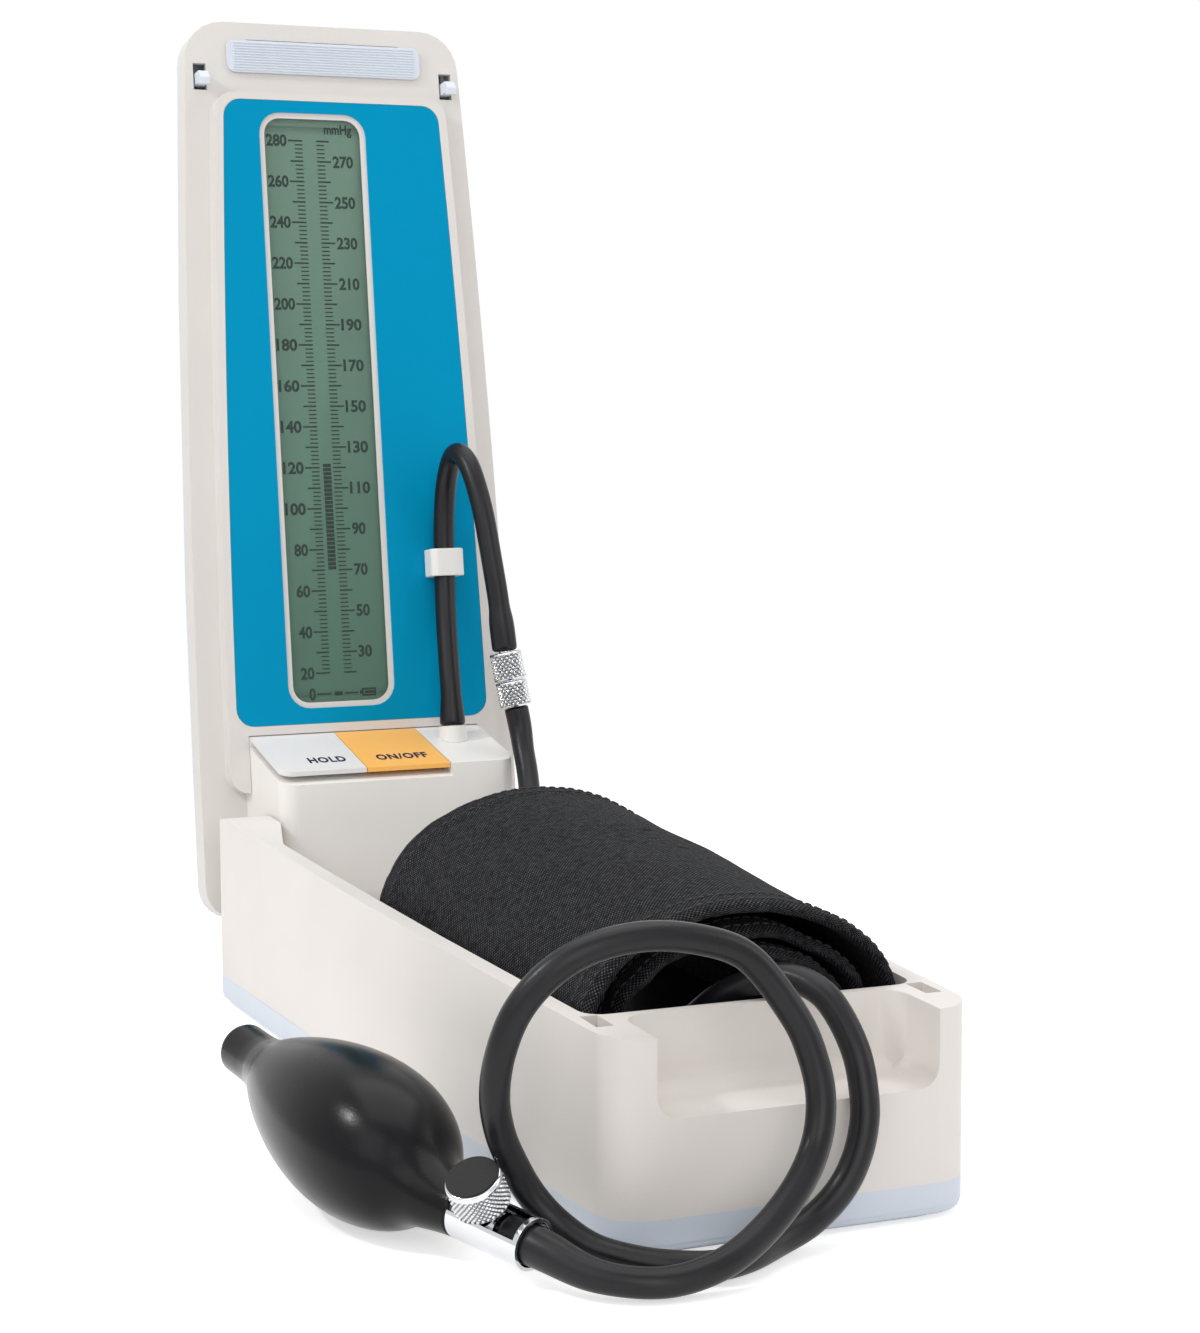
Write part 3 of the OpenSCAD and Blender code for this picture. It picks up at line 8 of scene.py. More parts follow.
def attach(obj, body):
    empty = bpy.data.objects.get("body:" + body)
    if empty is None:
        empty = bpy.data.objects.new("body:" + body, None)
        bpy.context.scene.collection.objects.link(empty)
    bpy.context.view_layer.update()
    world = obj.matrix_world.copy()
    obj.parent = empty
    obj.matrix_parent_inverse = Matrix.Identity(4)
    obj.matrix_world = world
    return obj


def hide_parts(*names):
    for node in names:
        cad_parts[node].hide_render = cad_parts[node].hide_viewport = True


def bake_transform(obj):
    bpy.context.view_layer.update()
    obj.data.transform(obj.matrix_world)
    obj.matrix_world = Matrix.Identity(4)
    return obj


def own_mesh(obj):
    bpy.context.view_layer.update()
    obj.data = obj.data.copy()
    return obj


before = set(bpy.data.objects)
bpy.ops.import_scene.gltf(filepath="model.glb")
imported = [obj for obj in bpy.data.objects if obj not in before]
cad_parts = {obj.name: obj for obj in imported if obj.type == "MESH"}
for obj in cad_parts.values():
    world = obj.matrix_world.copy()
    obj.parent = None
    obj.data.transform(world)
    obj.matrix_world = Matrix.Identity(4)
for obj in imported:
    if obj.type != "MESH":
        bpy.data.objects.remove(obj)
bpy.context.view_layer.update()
bpy.context.scene.view_settings.view_transform = "Standard"

# The studio: a pale floor that fades into a white surround, soft boxes at both sides, in front
# and above, a small lamp at the left and a low one in front, and the camera low in front of the
# left corner.

eye = Vector((-0.3121, -0.7563, 0.2126))
turn, dip, roll = math.radians(23.41), math.radians(5.73), math.radians(-0.19)
ahead = Vector((math.sin(turn) * math.cos(dip), math.cos(turn) * math.cos(dip), -math.sin(dip)))
level = Vector((math.cos(turn), -math.sin(turn), 0))
upright = level.cross(ahead)
camera = bpy.data.objects.new("camera", bpy.data.cameras.new("camera"))
camera.data.lens = 73.62
camera.data.sensor_width = 36
camera.data.clip_start = 0.01
camera.matrix_world = Matrix.Translation(eye) @ Matrix((
    level * math.cos(roll) + upright * math.sin(roll),
    upright * math.cos(roll) - level * math.sin(roll), -ahead)).transposed().to_4x4()
bpy.context.collection.objects.link(camera)
bpy.context.scene.camera = camera


def soft_box(name, place, width, height, watts, towards=(0, 0, 0.13)):
    lamp = bpy.data.objects.new(name, bpy.data.lights.new(name, "AREA"))
    lamp.data.shape = "RECTANGLE"
    lamp.data.size, lamp.data.size_y = width, height
    lamp.data.energy = watts
    lamp.location = place
    lamp.rotation_euler = (Vector(towards) - Vector(place)).to_track_quat("-Z", "Y").to_euler()
    bpy.context.collection.objects.link(lamp)


soft_box("box_left", (-1.25, -0.75, 0.95), 0.9, 1.1, 3.8)
soft_box("lamp_left", (-0.72, 0.06, 0.72), 0.08, 0.08, 2.5)
soft_box("box_front", (-0.35, -1.45, 0.7), 0.9, 0.7, 3.8)
soft_box("lamp_low", (-0.12, -1.25, 0.13), 0.7, 0.34, 1.0, (0, -0.1, 0.05))
soft_box("box_right", (1.35, -0.7, 0.8), 0.7, 1.2, 4)
soft_box("box_above", (0.05, 0.1, 1.6), 1.6, 1.6, 12.5)


def add(tree, kind, x=0, y=0, **settings):
    node = tree.nodes.new("ShaderNode" + kind)
    node.location = (x, y)
    for key, value in settings.items():
        setattr(node, key, value)
    return node


def white_surround(tree, dark, light, out, x):
    """Mixes dark, which lights the object, with light, which the camera, metal and glass see."""
    path = add(tree, "LightPath", x - 600, 300)
    seen = add(tree, "Math", x - 400, 300, operation="MAXIMUM")
    seen_too = add(tree, "Math", x - 200, 300, operation="MAXIMUM")
    mix = add(tree, "MixShader", x, 100)
    tree.links.new(path.outputs["Is Camera Ray"], seen.inputs[0])
    tree.links.new(path.outputs["Is Glossy Ray"], seen.inputs[1])
    tree.links.new(seen.outputs[0], seen_too.inputs[0])
    tree.links.new(path.outputs["Is Transmission Ray"], seen_too.inputs[1])
    tree.links.new(seen_too.outputs[0], mix.inputs[0])
    tree.links.new(dark.outputs[0], mix.inputs[1])
    tree.links.new(light.outputs[0], mix.inputs[2])
    tree.links.new(mix.outputs[0], out)


world = bpy.data.worlds.new("studio")
bpy.context.scene.world = world
world.use_nodes = True
tree = world.node_tree
tree.nodes.clear()
lighting = add(tree, "Background", -200, 0)
lighting.inputs["Color"].default_value = (1, 0.99, 0.98, 1)
lighting.inputs["Strength"].default_value = 0.43
backdrop = add(tree, "Background", -200, -150)
backdrop.inputs["Strength"].default_value = 1.0
backdrop.inputs["Color"].default_value = (1, 1, 1, 1)
sky_out = add(tree, "OutputWorld", 300, 0)
white_surround(tree, lighting, backdrop, sky_out.inputs["Surface"], 100)

bm = bmesh.new()
floor_sides = 48
rings = [0, 0.25, 0.4, 0.6, 0.9, 1.4, 2.2, 3.5, 6]
ring_points = [[bm.verts.new((0, 0, 0))]]
for radius in rings[1:]:
    ring_points.append([bm.verts.new((radius * math.cos(math.tau * i / floor_sides),
                                      radius * math.sin(math.tau * i / floor_sides), 0))
                        for i in range(floor_sides)])
for inner, outer in zip(ring_points, ring_points[1:]):
    for i in range(floor_sides):
        k = (i + 1) % floor_sides
        if len(inner) == 1:
            bm.faces.new((inner[0], outer[i], outer[k]))
        else:
            bm.faces.new((inner[i], outer[i], outer[k], inner[k]))
floor = bpy.data.objects.new("floor", bpy.data.meshes.new("floor"))
bm.to_mesh(floor.data)
bm.free()
bpy.context.collection.objects.link(floor)
paper = bpy.data.materials.new("floor_paper")
paper.use_nodes = True
tree = paper.node_tree
tree.nodes.clear()
matt = add(tree, "BsdfDiffuse", -500, 0)
matt.inputs["Color"].default_value = (0.9, 0.9, 0.9, 1)
lit = add(tree, "Emission", -500, -150)
lit.inputs["Strength"].default_value = 0.55
near = add(tree, "AddShader", -300, -60)
far = add(tree, "Emission", -300, -250)
far.inputs["Strength"].default_value = 1.0
place = add(tree, "TexCoord", -1100, -300)
reach = add(tree, "VectorMath", -900, -300, operation="LENGTH")
fade = add(tree, "MapRange", -700, -300, interpolation_type="SMOOTHSTEP")
fade.inputs["From Min"].default_value = 0.3
fade.inputs["From Max"].default_value = 0.8
blend = add(tree, "MixShader", -100, -120)
floor_out = add(tree, "OutputMaterial", 400, 0)
tree.links.new(matt.outputs[0], near.inputs[0])
tree.links.new(lit.outputs[0], near.inputs[1])
tree.links.new(place.outputs["Object"], reach.inputs[0])
tree.links.new(reach.outputs["Value"], fade.inputs["Value"])
tree.links.new(fade.outputs["Result"], blend.inputs[0])
tree.links.new(near.outputs[0], blend.inputs[1])
tree.links.new(far.outputs[0], blend.inputs[2])
white_surround(tree, matt, blend, floor_out.inputs["Surface"], 200)
floor.data.materials.append(paper)

# The latex hoses, 7.7 mm across: one from the port on the key housing up through its clip and
# down to the coupling, one from the coupling into the cuff, one from the valve into the cuff.

MM = 0.001
hinge_y, hinge_z, hinge_to_face, lean = 152.1, 38.8, 27.6, 7.4
lid_frame = (Matrix.Translation((0, hinge_y * MM, hinge_z * MM))
             @ Matrix.Rotation(math.radians(90 - lean), 4, "X")
             @ Matrix.Translation((0, 0, -hinge_to_face * MM)))
no_turn = Matrix.Identity(4)


def paint(red, green, blue):
    """A colour given in the 0 to 255 steps that a colour card uses."""
    steps = [c / 255 for c in (red, green, blue)]
    return tuple(c / 12.92 if c <= 0.04045 else ((c + 0.055) / 1.055) ** 2.4 for c in steps) + (1,)


def surface(name, colour, roughness, **sockets):
    """A material with its shader and the object's own coordinates, ready for grain."""
    made = bpy.data.materials.new(name)
    made.use_nodes = True
    shader = made.node_tree.nodes["Principled BSDF"]
    shader.inputs["Base Color"].default_value = colour
    shader.inputs["Roughness"].default_value = roughness
    for socket, value in sockets.items():
        shader.inputs[socket.replace("_", " ")].default_value = value
    where = add(made.node_tree, "TexCoord", -1500, 0)
    return made, made.node_tree, shader, where.outputs["Object"]


def speckle(tree, where, scale, detail=2.0, x=-1200, y=0):
    node = add(tree, "TexNoise", x, y)
    node.inputs["Scale"].default_value = scale
    node.inputs["Detail"].default_value = detail
    tree.links.new(where, node.inputs["Vector"])
    return node.outputs["Fac"]


def spread(tree, value, low, high, x=-900, y=0):
    """Takes a noise, which lies about 0.5, to the range from low to high."""
    node = add(tree, "MapRange", x, y)
    node.inputs["From Min"].default_value = 0.3
    node.inputs["From Max"].default_value = 0.7
    node.inputs["To Min"].default_value = low
    node.inputs["To Max"].default_value = high
    tree.links.new(value, node.inputs["Value"])
    return node.outputs["Result"]


def tint(tree, value, one, other, x=-500, y=200):
    """Goes from colour one to the other as value goes from 0 to 1."""
    node = add(tree, "Mix", x, y, data_type="RGBA")
    node.inputs[6].default_value, node.inputs[7].default_value = one, other
    tree.links.new(value, node.inputs[0])
    return node.outputs[2]


def grain(tree, shader, value, height, x=-300, y=-300):
    """Raises the surface by up to height metres where value is 1."""
    node = add(tree, "Bump", x, y)
    node.inputs["Distance"].default_value = height
    node.inputs["Strength"].default_value = 1.0
    tree.links.new(value, node.inputs["Height"])
    before = shader.inputs["Normal"].links
    if before:
        tree.links.new(before[0].from_socket, node.inputs["Normal"])
    tree.links.new(node.outputs["Normal"], shader.inputs["Normal"])


def shade(colour, share):
    return tuple(min(1, c * share) for c in colour[:3]) + (1,)


def latex(name, colour, roughness, gloss=0.3):
    made, tree, shader, where = surface(name, colour, roughness, Specular_IOR_Level=gloss)
    dust = speckle(tree, where, 45, 4)
    tree.links.new(tint(tree, spread(tree, dust, 0, 1), shade(colour, 0.8), shade(colour, 1.5)),
                   shader.inputs["Base Color"])
    tree.links.new(spread(tree, dust, roughness - 0.05, roughness + 0.06, y=-200),
                   shader.inputs["Roughness"])
    fine = speckle(tree, where, 1800, 3, y=-400)
    grain(tree, shader, fine, 0.00004)
    return made


def new_piece(name, verts, faces, material, at=no_turn, smooth=True):
    """A mesh piece from points in millimetres, put in place by the matrix at."""
    mesh = bpy.data.meshes.new(name)
    mesh.from_pydata([at @ (Vector(v) * MM) for v in verts], [], faces)
    bm = bmesh.new()
    bm.from_mesh(mesh)
    bmesh.ops.remove_doubles(bm, verts=bm.verts, dist=2e-6)
    bmesh.ops.recalc_face_normals(bm, faces=bm.faces)
    bm.to_mesh(mesh)
    bm.free()
    mesh.materials.append(material)
    mesh.polygons.foreach_set("use_smooth", [smooth] * len(mesh.polygons))
    made = bpy.data.objects.new(name, mesh)
    bpy.context.collection.objects.link(made)
    return made


def smooth_route(points, steps):
    """The same curve through the points that the hoses' solids follow."""
    out = []
    last = len(points) - 1
    for i in range(last):
        a, b = Vector(points[max(0, i - 1)]), Vector(points[i])
        c, d = Vector(points[i + 1]), Vector(points[min(last, i + 2)])
        for k in range(steps):
            t = k / steps
            out.append(0.5 * (2 * b + (c - a) * t + (2 * a - 5 * b + 4 * c - d) * t * t
                              + (3 * b - a - 3 * c + d) * t ** 3))
    return out + [Vector(points[-1])]


def along(route):
    """Distance of each point from the start."""
    out = [0.0]
    for a, b in zip(route, route[1:]):
        out.append(out[-1] + (b - a).length)
    return out


def ease(value, start, end):
    t = min(1, max(0, (value - start) / (end - start)))
    return t * t * (3 - 2 * t)


def tube_faces(rings, sides):
    """The faces between each ring of points and the next."""
    return [(i * sides + k, i * sides + (k + 1) % sides, (i + 1) * sides + (k + 1) % sides,
             (i + 1) * sides + k) for i in range(rings - 1) for k in range(sides)]


def hose(name, route, radius_at, material, sides=20):
    """A tube on the route, with radius_at giving the radius at each distance from its start."""
    s = along(route)
    side = Vector((1, 0, 0))
    verts = []
    for i, p in enumerate(route):
        t = (route[min(len(route) - 1, i + 1)] - route[max(0, i - 1)]).normalized()
        side = (side - t * side.dot(t)).normalized()
        other = t.cross(side)
        r = radius_at(s[i], s[-1])
        for k in range(sides):
            a = math.tau * k / sides
            verts.append(p + (side * math.cos(a) + other * math.sin(a)) * r)
    faces = tube_faces(len(route), sides)
    faces.append(tuple(range(sides)))
    faces.append(tuple((len(route) - 1) * sides + k for k in range(sides)))
    made = new_piece(name, verts, faces, material)
    made.modifiers.new("round", "SUBSURF").levels = 1
    made.modifiers["round"].render_levels = 1
    return made


def lid_to_world(u, v, d):
    return (lid_frame @ (Vector((u, v, d)) * MM)) / MM


hose_latex = latex("hose_latex", paint(22, 22, 25), 0.32, 0.26)
hose_r = 7.7 / 2
port_flare, socket_flare, cuff_flare, valve_flare = 0.9, 0.75, 0.5, 1.3
coupling_at, coupling_way = (42.5, 80.5, 42), Vector((3.1, -19.9, 0)).normalized()
socket_len, ring_len, ring_gap = 10.2, 9.4, 0.3
port_points = [(29.2, 55.2, 20), (29.4, 68, 19.4), (30, 80, 17.2), (31, 96, 14.2), (32, 115, 12.6),
               (32.4, 131, 13.6), (32.8, 143.8, 17), (33.4, 152.2, 23), (34.2, 153.2, 29),
               (35.6, 147, 35.4), (37.4, 132, 40.4), (39, 114, 42.6), (40.8, 99, 42.6),
               coupling_at]
port_route = smooth_route([lid_to_world(*p) for p in port_points], 6)
port_hose = hose("port_hose_latex", port_route,
                 lambda s, end: (hose_r + port_flare * (1 - ease(s, 0, 13))
                                 + socket_flare * ease(s, end - 15, end - 11)),
                 hose_latex)
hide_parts("port_hose")
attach(port_hose, "lid")

coupling_end = Vector(coupling_at) + coupling_way * (socket_len + ring_len + ring_gap)
cuff_points = [lid_to_world(*coupling_end), (46.7, 144.5, 93.4), (46.4, 141, 86.4),
               (45.8, 136.2, 79.8), (44.6, 131, 73.4), (42.4, 124.2, 66), (40, 112, 56),
               (36.6, 96, 48.6), (31, 76, 44.6), (24, 55, 43.6), (18, 34, 43.4), (14, 1, 43.5)]
cuff_route = smooth_route(cuff_points, 6)
cuff_hose = hose("cuff_hose_latex", cuff_route,
                 lambda s, end: hose_r + cuff_flare * (1 - ease(s, 2, 20)), hose_latex)
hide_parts("cuff_hose")
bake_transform(cuff_hose)

cradle_top = Vector((-84.4, -145.2, 13))
cradle_turn, cradle_dip = math.radians(24.2), math.radians(7.6)
cradle_way = Vector((math.sin(cradle_turn) * math.cos(cradle_dip),
                     -math.cos(cradle_turn) * math.cos(cradle_dip), -math.sin(cradle_dip)))
inflation_points = [
    cradle_top + cradle_way * 15, (-72.9, -171, 9), (-66, -182, 5.9), (-55.7, -189, 4.6),
    (-45, -191, 5), (-33, -190.4, 8.2), (-21, -187, 14.4), (-11.5, -183.6, 22.4),
    (-5.2, -180, 31), (-3, -177.6, 41), (-4.4, -175.6, 51), (-8.4, -173.6, 61),
    (-19, -170.4, 75.4), (-32.4, -169.6, 81), (-47, -169, 82.8), (-60.5, -168, 80.6),
    (-70, -166, 75), (-77, -163.4, 66.4), (-80.6, -161, 55.8), (-81.2, -158.4, 45),
    (-78.6, -155, 35), (-74.6, -153, 26.4), (-69.4, -152.6, 17.4), (-64, -156, 10.6),
    (-57.6, -163, 5.6), (-50, -172, 4.1), (-42.6, -179, 4), (-34, -182.6, 4),
    (-24, -180, 4), (-13, -174, 4.6), (-2, -171, 7.6), (6.6, -170, 14), (11.6, -169.6, 22),
    (14.4, -168.4, 31), (15.2, -166, 39), (15, -162.6, 47), (13.4, -157, 55),
    (11, -151, 60.4), (7, -143, 62.8), (2, -136, 61.4), (-5, -127, 56), (-9, -119, 49),
    (-10, -111, 43.5)]
inflation_route = smooth_route(inflation_points, 5)
inflation_hose = hose("inflation_hose_latex", inflation_route,
                      lambda s, end: hose_r + valve_flare * (1 - ease(s, 6, 36)), hose_latex)
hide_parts("inflation_hose")
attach(inflation_hose, "base")

# The base: a white moulded tray, and under it a blue-grey cover that shows as a strip at the
# foot, with four rubber feet in its pockets and four screws up into the tray.


def moulded(name, colour, roughness=0.4, texture=1600, height=0.00003, gloss=0.3):
    """Moulded plastic: slightly uneven in tone and gloss, with a fine spark-eroded skin."""
    made, tree, shader, where = surface(name, colour, roughness, Specular_IOR_Level=gloss)
    cloud = speckle(tree, where, 14, 3)
    tree.links.new(tint(tree, spread(tree, cloud, 0, 1), shade(colour, 0.975), shade(colour, 1.02)),
                   shader.inputs["Base Color"])
    tree.links.new(spread(tree, speckle(tree, where, 60, 3, y=-200), roughness - 0.04,
                          roughness + 0.05, y=-200), shader.inputs["Roughness"])
    grain(tree, shader, speckle(tree, where, texture, 2, y=-400), height)
    return made


smooth_faces = bpy.data.node_groups.new("smooth_faces", "GeometryNodeTree")
smooth_faces.interface.new_socket("Geometry", in_out="INPUT", socket_type="NodeSocketGeometry")
smooth_faces.interface.new_socket("Geometry", in_out="OUTPUT", socket_type="NodeSocketGeometry")
shading_in = smooth_faces.nodes.new("NodeGroupInput")
shading = smooth_faces.nodes.new("GeometryNodeSetShadeSmooth")
shading_out = smooth_faces.nodes.new("NodeGroupOutput")
smooth_faces.links.new(shading_in.outputs[0], shading.inputs[0])
smooth_faces.links.new(shading.outputs[0], shading_out.inputs[0])


def dress(node, material, edge=0.5, segments=3, angle=32, flat=True):
    """Gives a CAD piece its material and rounds its edges by edge millimetres."""
    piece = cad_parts[node]
    piece.data.materials.clear()
    piece.data.materials.append(material)
    weld = piece.modifiers.new("weld", "WELD")
    weld.merge_threshold = 1e-5
    if flat:
        join = piece.modifiers.new("flat", "DECIMATE")
        join.decimate_type = "DISSOLVE"
        join.angle_limit = math.radians(0.6)
    if edge:
        round_off = piece.modifiers.new("edges", "BEVEL")
        round_off.width = edge * MM
        round_off.segments = segments
        round_off.limit_method = "ANGLE"
        round_off.angle_limit = math.radians(angle)
        round_off.use_clamp_overlap = True
        round_off.miter_outer = "MITER_ARC"
    smooth = piece.modifiers.new("smooth", "NODES")
    smooth.node_group = smooth_faces
    normals = piece.modifiers.new("normals", "WEIGHTED_NORMAL")
    normals.mode = "FACE_AREA"
    normals.weight = 90
    return piece


white_plastic = moulded("white_plastic_moulded", paint(227, 222, 217))
grey_blue_plastic = moulded("blue_grey_plastic_moulded", paint(210, 218, 229))
steel, tree, shader, where = surface("steel_zinc_plated", paint(190, 190, 188), 0.35,
                                     Metallic=1.0)
tree.links.new(spread(tree, speckle(tree, where, 900, 3), 0.25, 0.5), shader.inputs["Roughness"])
grain(tree, shader, speckle(tree, where, 2500, 2, y=-400), 0.00002)
foot_rubber = latex("foot_rubber", paint(50, 50, 52), 0.6)
dress("base_tray", white_plastic, 1.1)
dress("bottom_cover", grey_blue_plastic, 0.35)
dress("rubber_feet", foot_rubber, 0.6)
dress("cover_screws", steel, 0.2)

# The hinge: two steel pins pressed into the base's cheeks, on which the key housing turns, with
# a nylon washer on each.

nylon = moulded("nylon_white", paint(228, 226, 218), 0.45)
dress("hinge_pins", steel, 0.3)
dress("hinge_washers", nylon, 0.1)

# The lid: a white front shell with the raised bezel, and a pale blue-grey rear cover drawn to it
# by six screws.

# The lid's white is painted a little darker than the tray's: painted shade that holds back the
# strong front light on the lid.
white_lid_plastic_painted_shade = moulded("white_lid_plastic_painted_shade", paint(219, 215, 211))
dress("lid_front", white_lid_plastic_painted_shade, 0.9, flat=False)
dress("lid_back", grey_blue_plastic, 0.5)
dress("lid_screws", steel, 0.2)

# The display: a printed blue panel round a liquid crystal glass behind a clear window, with its
# carrier and the circuit board behind. The column's scale is printed on the glass.


def clear(name, colour, alpha):
    made, tree, shader, where = surface(name, colour, 0.06, Alpha=alpha, Specular_IOR_Level=0.08)
    smear = speckle(tree, where, 25, 4)
    tree.links.new(spread(tree, smear, 0.04, 0.12), shader.inputs["Roughness"])
    return made


def crystal(name, colour, top_colour):
    """Liquid crystal glass: it goes from colour at its foot to top_colour at its top."""
    made, tree, shader, where = surface(name, colour, 0.3, Specular_IOR_Level=0.1)
    height = add(tree, "SeparateXYZ", -1200, 200)
    tree.links.new(where, height.inputs[0])
    rise = add(tree, "MapRange", -900, 200)
    rise.inputs["From Min"].default_value = 0.1
    rise.inputs["From Max"].default_value = 0.31
    tree.links.new(height.outputs["Z"], rise.inputs["Value"])
    tree.links.new(tint(tree, rise.outputs["Result"], colour, top_colour),
                   shader.inputs["Base Color"])
    tree.links.new(spread(tree, speckle(tree, where, 800, 2, y=-200), 0.25, 0.35, y=-200),
                   shader.inputs["Roughness"])
    return made


def plate(node, material):
    """A thin flat piece, left with its sharp edges."""
    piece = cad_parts[node]
    piece.data.materials.clear()
    piece.data.materials.append(material)
    piece.data.polygons.foreach_set("use_smooth", [False] * len(piece.data.polygons))
    return piece


plate("display_panel", moulded("panel_blue_print", paint(0, 144, 188), 0.36, texture=900,
                               height=0.00002, gloss=0.05))
plate("display_window", clear("window_clear_sheet", paint(205, 220, 210), 0.04))
plate("display_glass", crystal("display_green_glass", paint(80, 117, 102), paint(108, 136, 121)))
plate("display_carrier", nylon)
board_green = moulded("board_green_resist", paint(28, 96, 62), 0.3, texture=500)
chip_black = moulded("chip_black_epoxy", paint(34, 34, 36), 0.45)
dress("circuit_board", board_green, 0.1)
dress("board_chips", chip_black, 0.1)
dress("pressure_sensor", chip_black, 0.2)
dress("buzzer", chip_black, 0.2)

print_t = 0.03
left_marks, right_marks = -11.3, -6.0
left_digits, right_digits, digit_high = -17.2, -0.1, 4.5
column_left, column_right, column_gap = -9.9, -6.9, 0.12


def bar(verts, faces, x0, y0, x1, y1):
    """A flat printed mark between two corners."""
    n = len(verts)
    verts += [(x, y, z) for z in (0, print_t) for x, y in ((x0, y0), (x1, y0), (x1, y1), (x0, y1))]
    faces += [(n, n + 3, n + 2, n + 1), (n + 4, n + 5, n + 6, n + 7)]
    faces += [(n + i, n + (i + 1) % 4, n + 4 + (i + 1) % 4, n + 4 + i) for i in range(4)]


def lettering(verts, faces, words, x, y, high, wide, side="LEFT", bold=0.035, apart=1.0):
    """Printed words of a given height and width, from x, y at their lower left or right corner."""
    curve = bpy.data.curves.new("words", "FONT")
    curve.body = words
    curve.extrude = 0.01
    curve.offset = bold
    curve.space_character = apart
    curve.resolution_u = 3
    holder = bpy.data.objects.new("words", curve)
    bpy.context.collection.objects.link(holder)
    bpy.context.view_layer.update()
    mesh = bpy.data.meshes.new_from_object(holder)
    xs = [v.co.x for v in mesh.vertices]
    ys = [v.co.y for v in mesh.vertices]
    across = wide / (max(xs) - min(xs))
    up = high / (max(ys) - min(ys))
    left = x if side == "LEFT" else x - wide
    n = len(verts)
    verts += [(left + (v.co.x - min(xs)) * across, y + (v.co.y - min(ys)) * up,
               print_t if v.co.z > 0 else 0) for v in mesh.vertices]
    faces += [tuple(n + k for k in face.vertices) for face in mesh.polygons]
    bpy.data.objects.remove(holder)
    bpy.data.curves.remove(curve)
    bpy.data.meshes.remove(mesh)


lowest, lowest_v, mm_each = 20, 76.8, 0.7454


def scale_v(pressure):
    """Height on the lid of a pressure on the column's scale."""
    return lowest_v + mm_each * (pressure - lowest)


verts, faces = [], []
for pressure in range(lowest, 281, 2):
    v = scale_v(pressure)
    tens, twenties = pressure % 10 == 0, pressure % 20 == 0
    thick = 0.31 if tens else 0.24
    long_left = 5.4 if twenties else 4.8 if tens else 2.9
    bar(verts, faces, left_marks - long_left, v - thick, left_marks, v + thick)
    long_right = 4.8 if twenties else 5.3 if tens else 3.0
    bar(verts, faces, right_marks, v - thick, right_marks + long_right, v + thick)
    words = str(pressure)
    wide = 7.8 if len(words) == 3 else 5.2
    if twenties:
        lettering(verts, faces, words, left_digits, v - digit_high / 2, digit_high, wide, "RIGHT")
    elif tens:
        lettering(verts, faces, words, right_digits, v - digit_high / 2, digit_high, wide)
for pressure in range(70, 122, 2):
    bar(verts, faces, column_left, scale_v(pressure) + column_gap, column_right,
        scale_v(pressure + 2) - column_gap)
lettering(verts, faces, "mmHg", -2.9, 272.2, 4.7, 10.6)
lettering(verts, faces, "0", -17.1, 67.0, digit_high, 2.5, "RIGHT")
for x0, y0, x1, y1 in ((-16.6, 68.9, -11.3, 69.5), (-9.9, 68.5, -7, 69.9), (-6, 68.9, -1, 69.5),
                       (0.4, 67.8, 5.8, 68.5), (0.4, 70.1, 5.8, 70.8), (0.4, 68.5, 1, 70.1),
                       (5.2, 68.5, 5.8, 70.1), (-0.3, 68.6, 0.4, 70), (1.5, 68.8, 5.2, 69.8)):
    bar(verts, faces, x0, y0, x1, y1)
ink = moulded("display_ink", paint(24, 44, 38), 0.45, gloss=0.2)
scale = new_piece("display_scale", verts, faces, ink,
                  lid_frame @ Matrix.Translation((0, 0, 4.71 * MM)), smooth=False)
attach(scale, "lid")

# The key housing under the display, which carries the hinge pins' sockets, the two rocking keys
# on their pin, the small key board and the battery holder. The keys' words are printed.

# The housing's white is painted lighter than the tray's: painted light where the housing lies in
# the shade of the lid and the cuff.
white_housing_plastic_painted_light = moulded("white_housing_plastic_painted_light", paint(237, 234, 230))
dress("key_housing", white_housing_plastic_painted_light, 0.7)
dress("housing_screws", steel, 0.2)
dress("key_board", board_green, 0.1)
dress("key_pin", steel, 0.2)
dress("hold_key", moulded("key_grey_plastic", paint(228, 226, 225), 0.38), 0.35)
dress("power_key", moulded("key_orange_plastic", paint(255, 190, 96), 0.38), 0.35)
dress("batteries", moulded("cell_wrap_film", paint(70, 76, 84), 0.3), 0.4)
dress("battery_contacts", steel, 0.1)
dress("battery_door", grey_blue_plastic, 0.35)
key_top, key_rear, key_fall = 55, 7.5, 0.36
key_up = Vector((0, key_fall, -1)).normalized()
key_out = Vector((0, 1, key_fall)).normalized()
key_ink = moulded("key_print", paint(28, 34, 68), 0.5, gloss=0.2)
for words, u, d, wide, body in (("HOLD", -23.3, 33.4, 13.5, "hold_key"),
                                ("ON/OFF", 4.2, 34.0, 18.9, "power_key")):
    verts, faces = [], []
    lettering(verts, faces, words, -wide / 2, -2.7, 5.4, wide, bold=0.03, apart=1.12)
    place = Vector((u, key_top - key_fall * (d - key_rear), d)) + key_out * 0.1
    onto = lid_frame @ Matrix.Translation(place * MM) @ Matrix(
        (Vector((1, 0, 0)), key_up, key_out)).transposed().to_4x4()
    label = new_piece(body + "_words", verts, faces, key_ink, onto, smooth=False)
    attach(label, body)

# Air fittings: a moulded white port that stands on the key housing, the thin silicone tube from
# it to the sensor, and the white clip that holds the hose on the panel.

port_white = moulded("port_white", paint(236, 235, 232), 0.35)
dress("air_port", port_white, 0.3)
dress("air_tube", latex("sensor_tube_silicone", paint(196, 190, 170), 0.45), 0)
dress("hose_clip", port_white, 0.5)

# The coupling: a chromed socket on the port hose and a lock ring that turns on it, both with a
# diamond knurl between smooth rims.


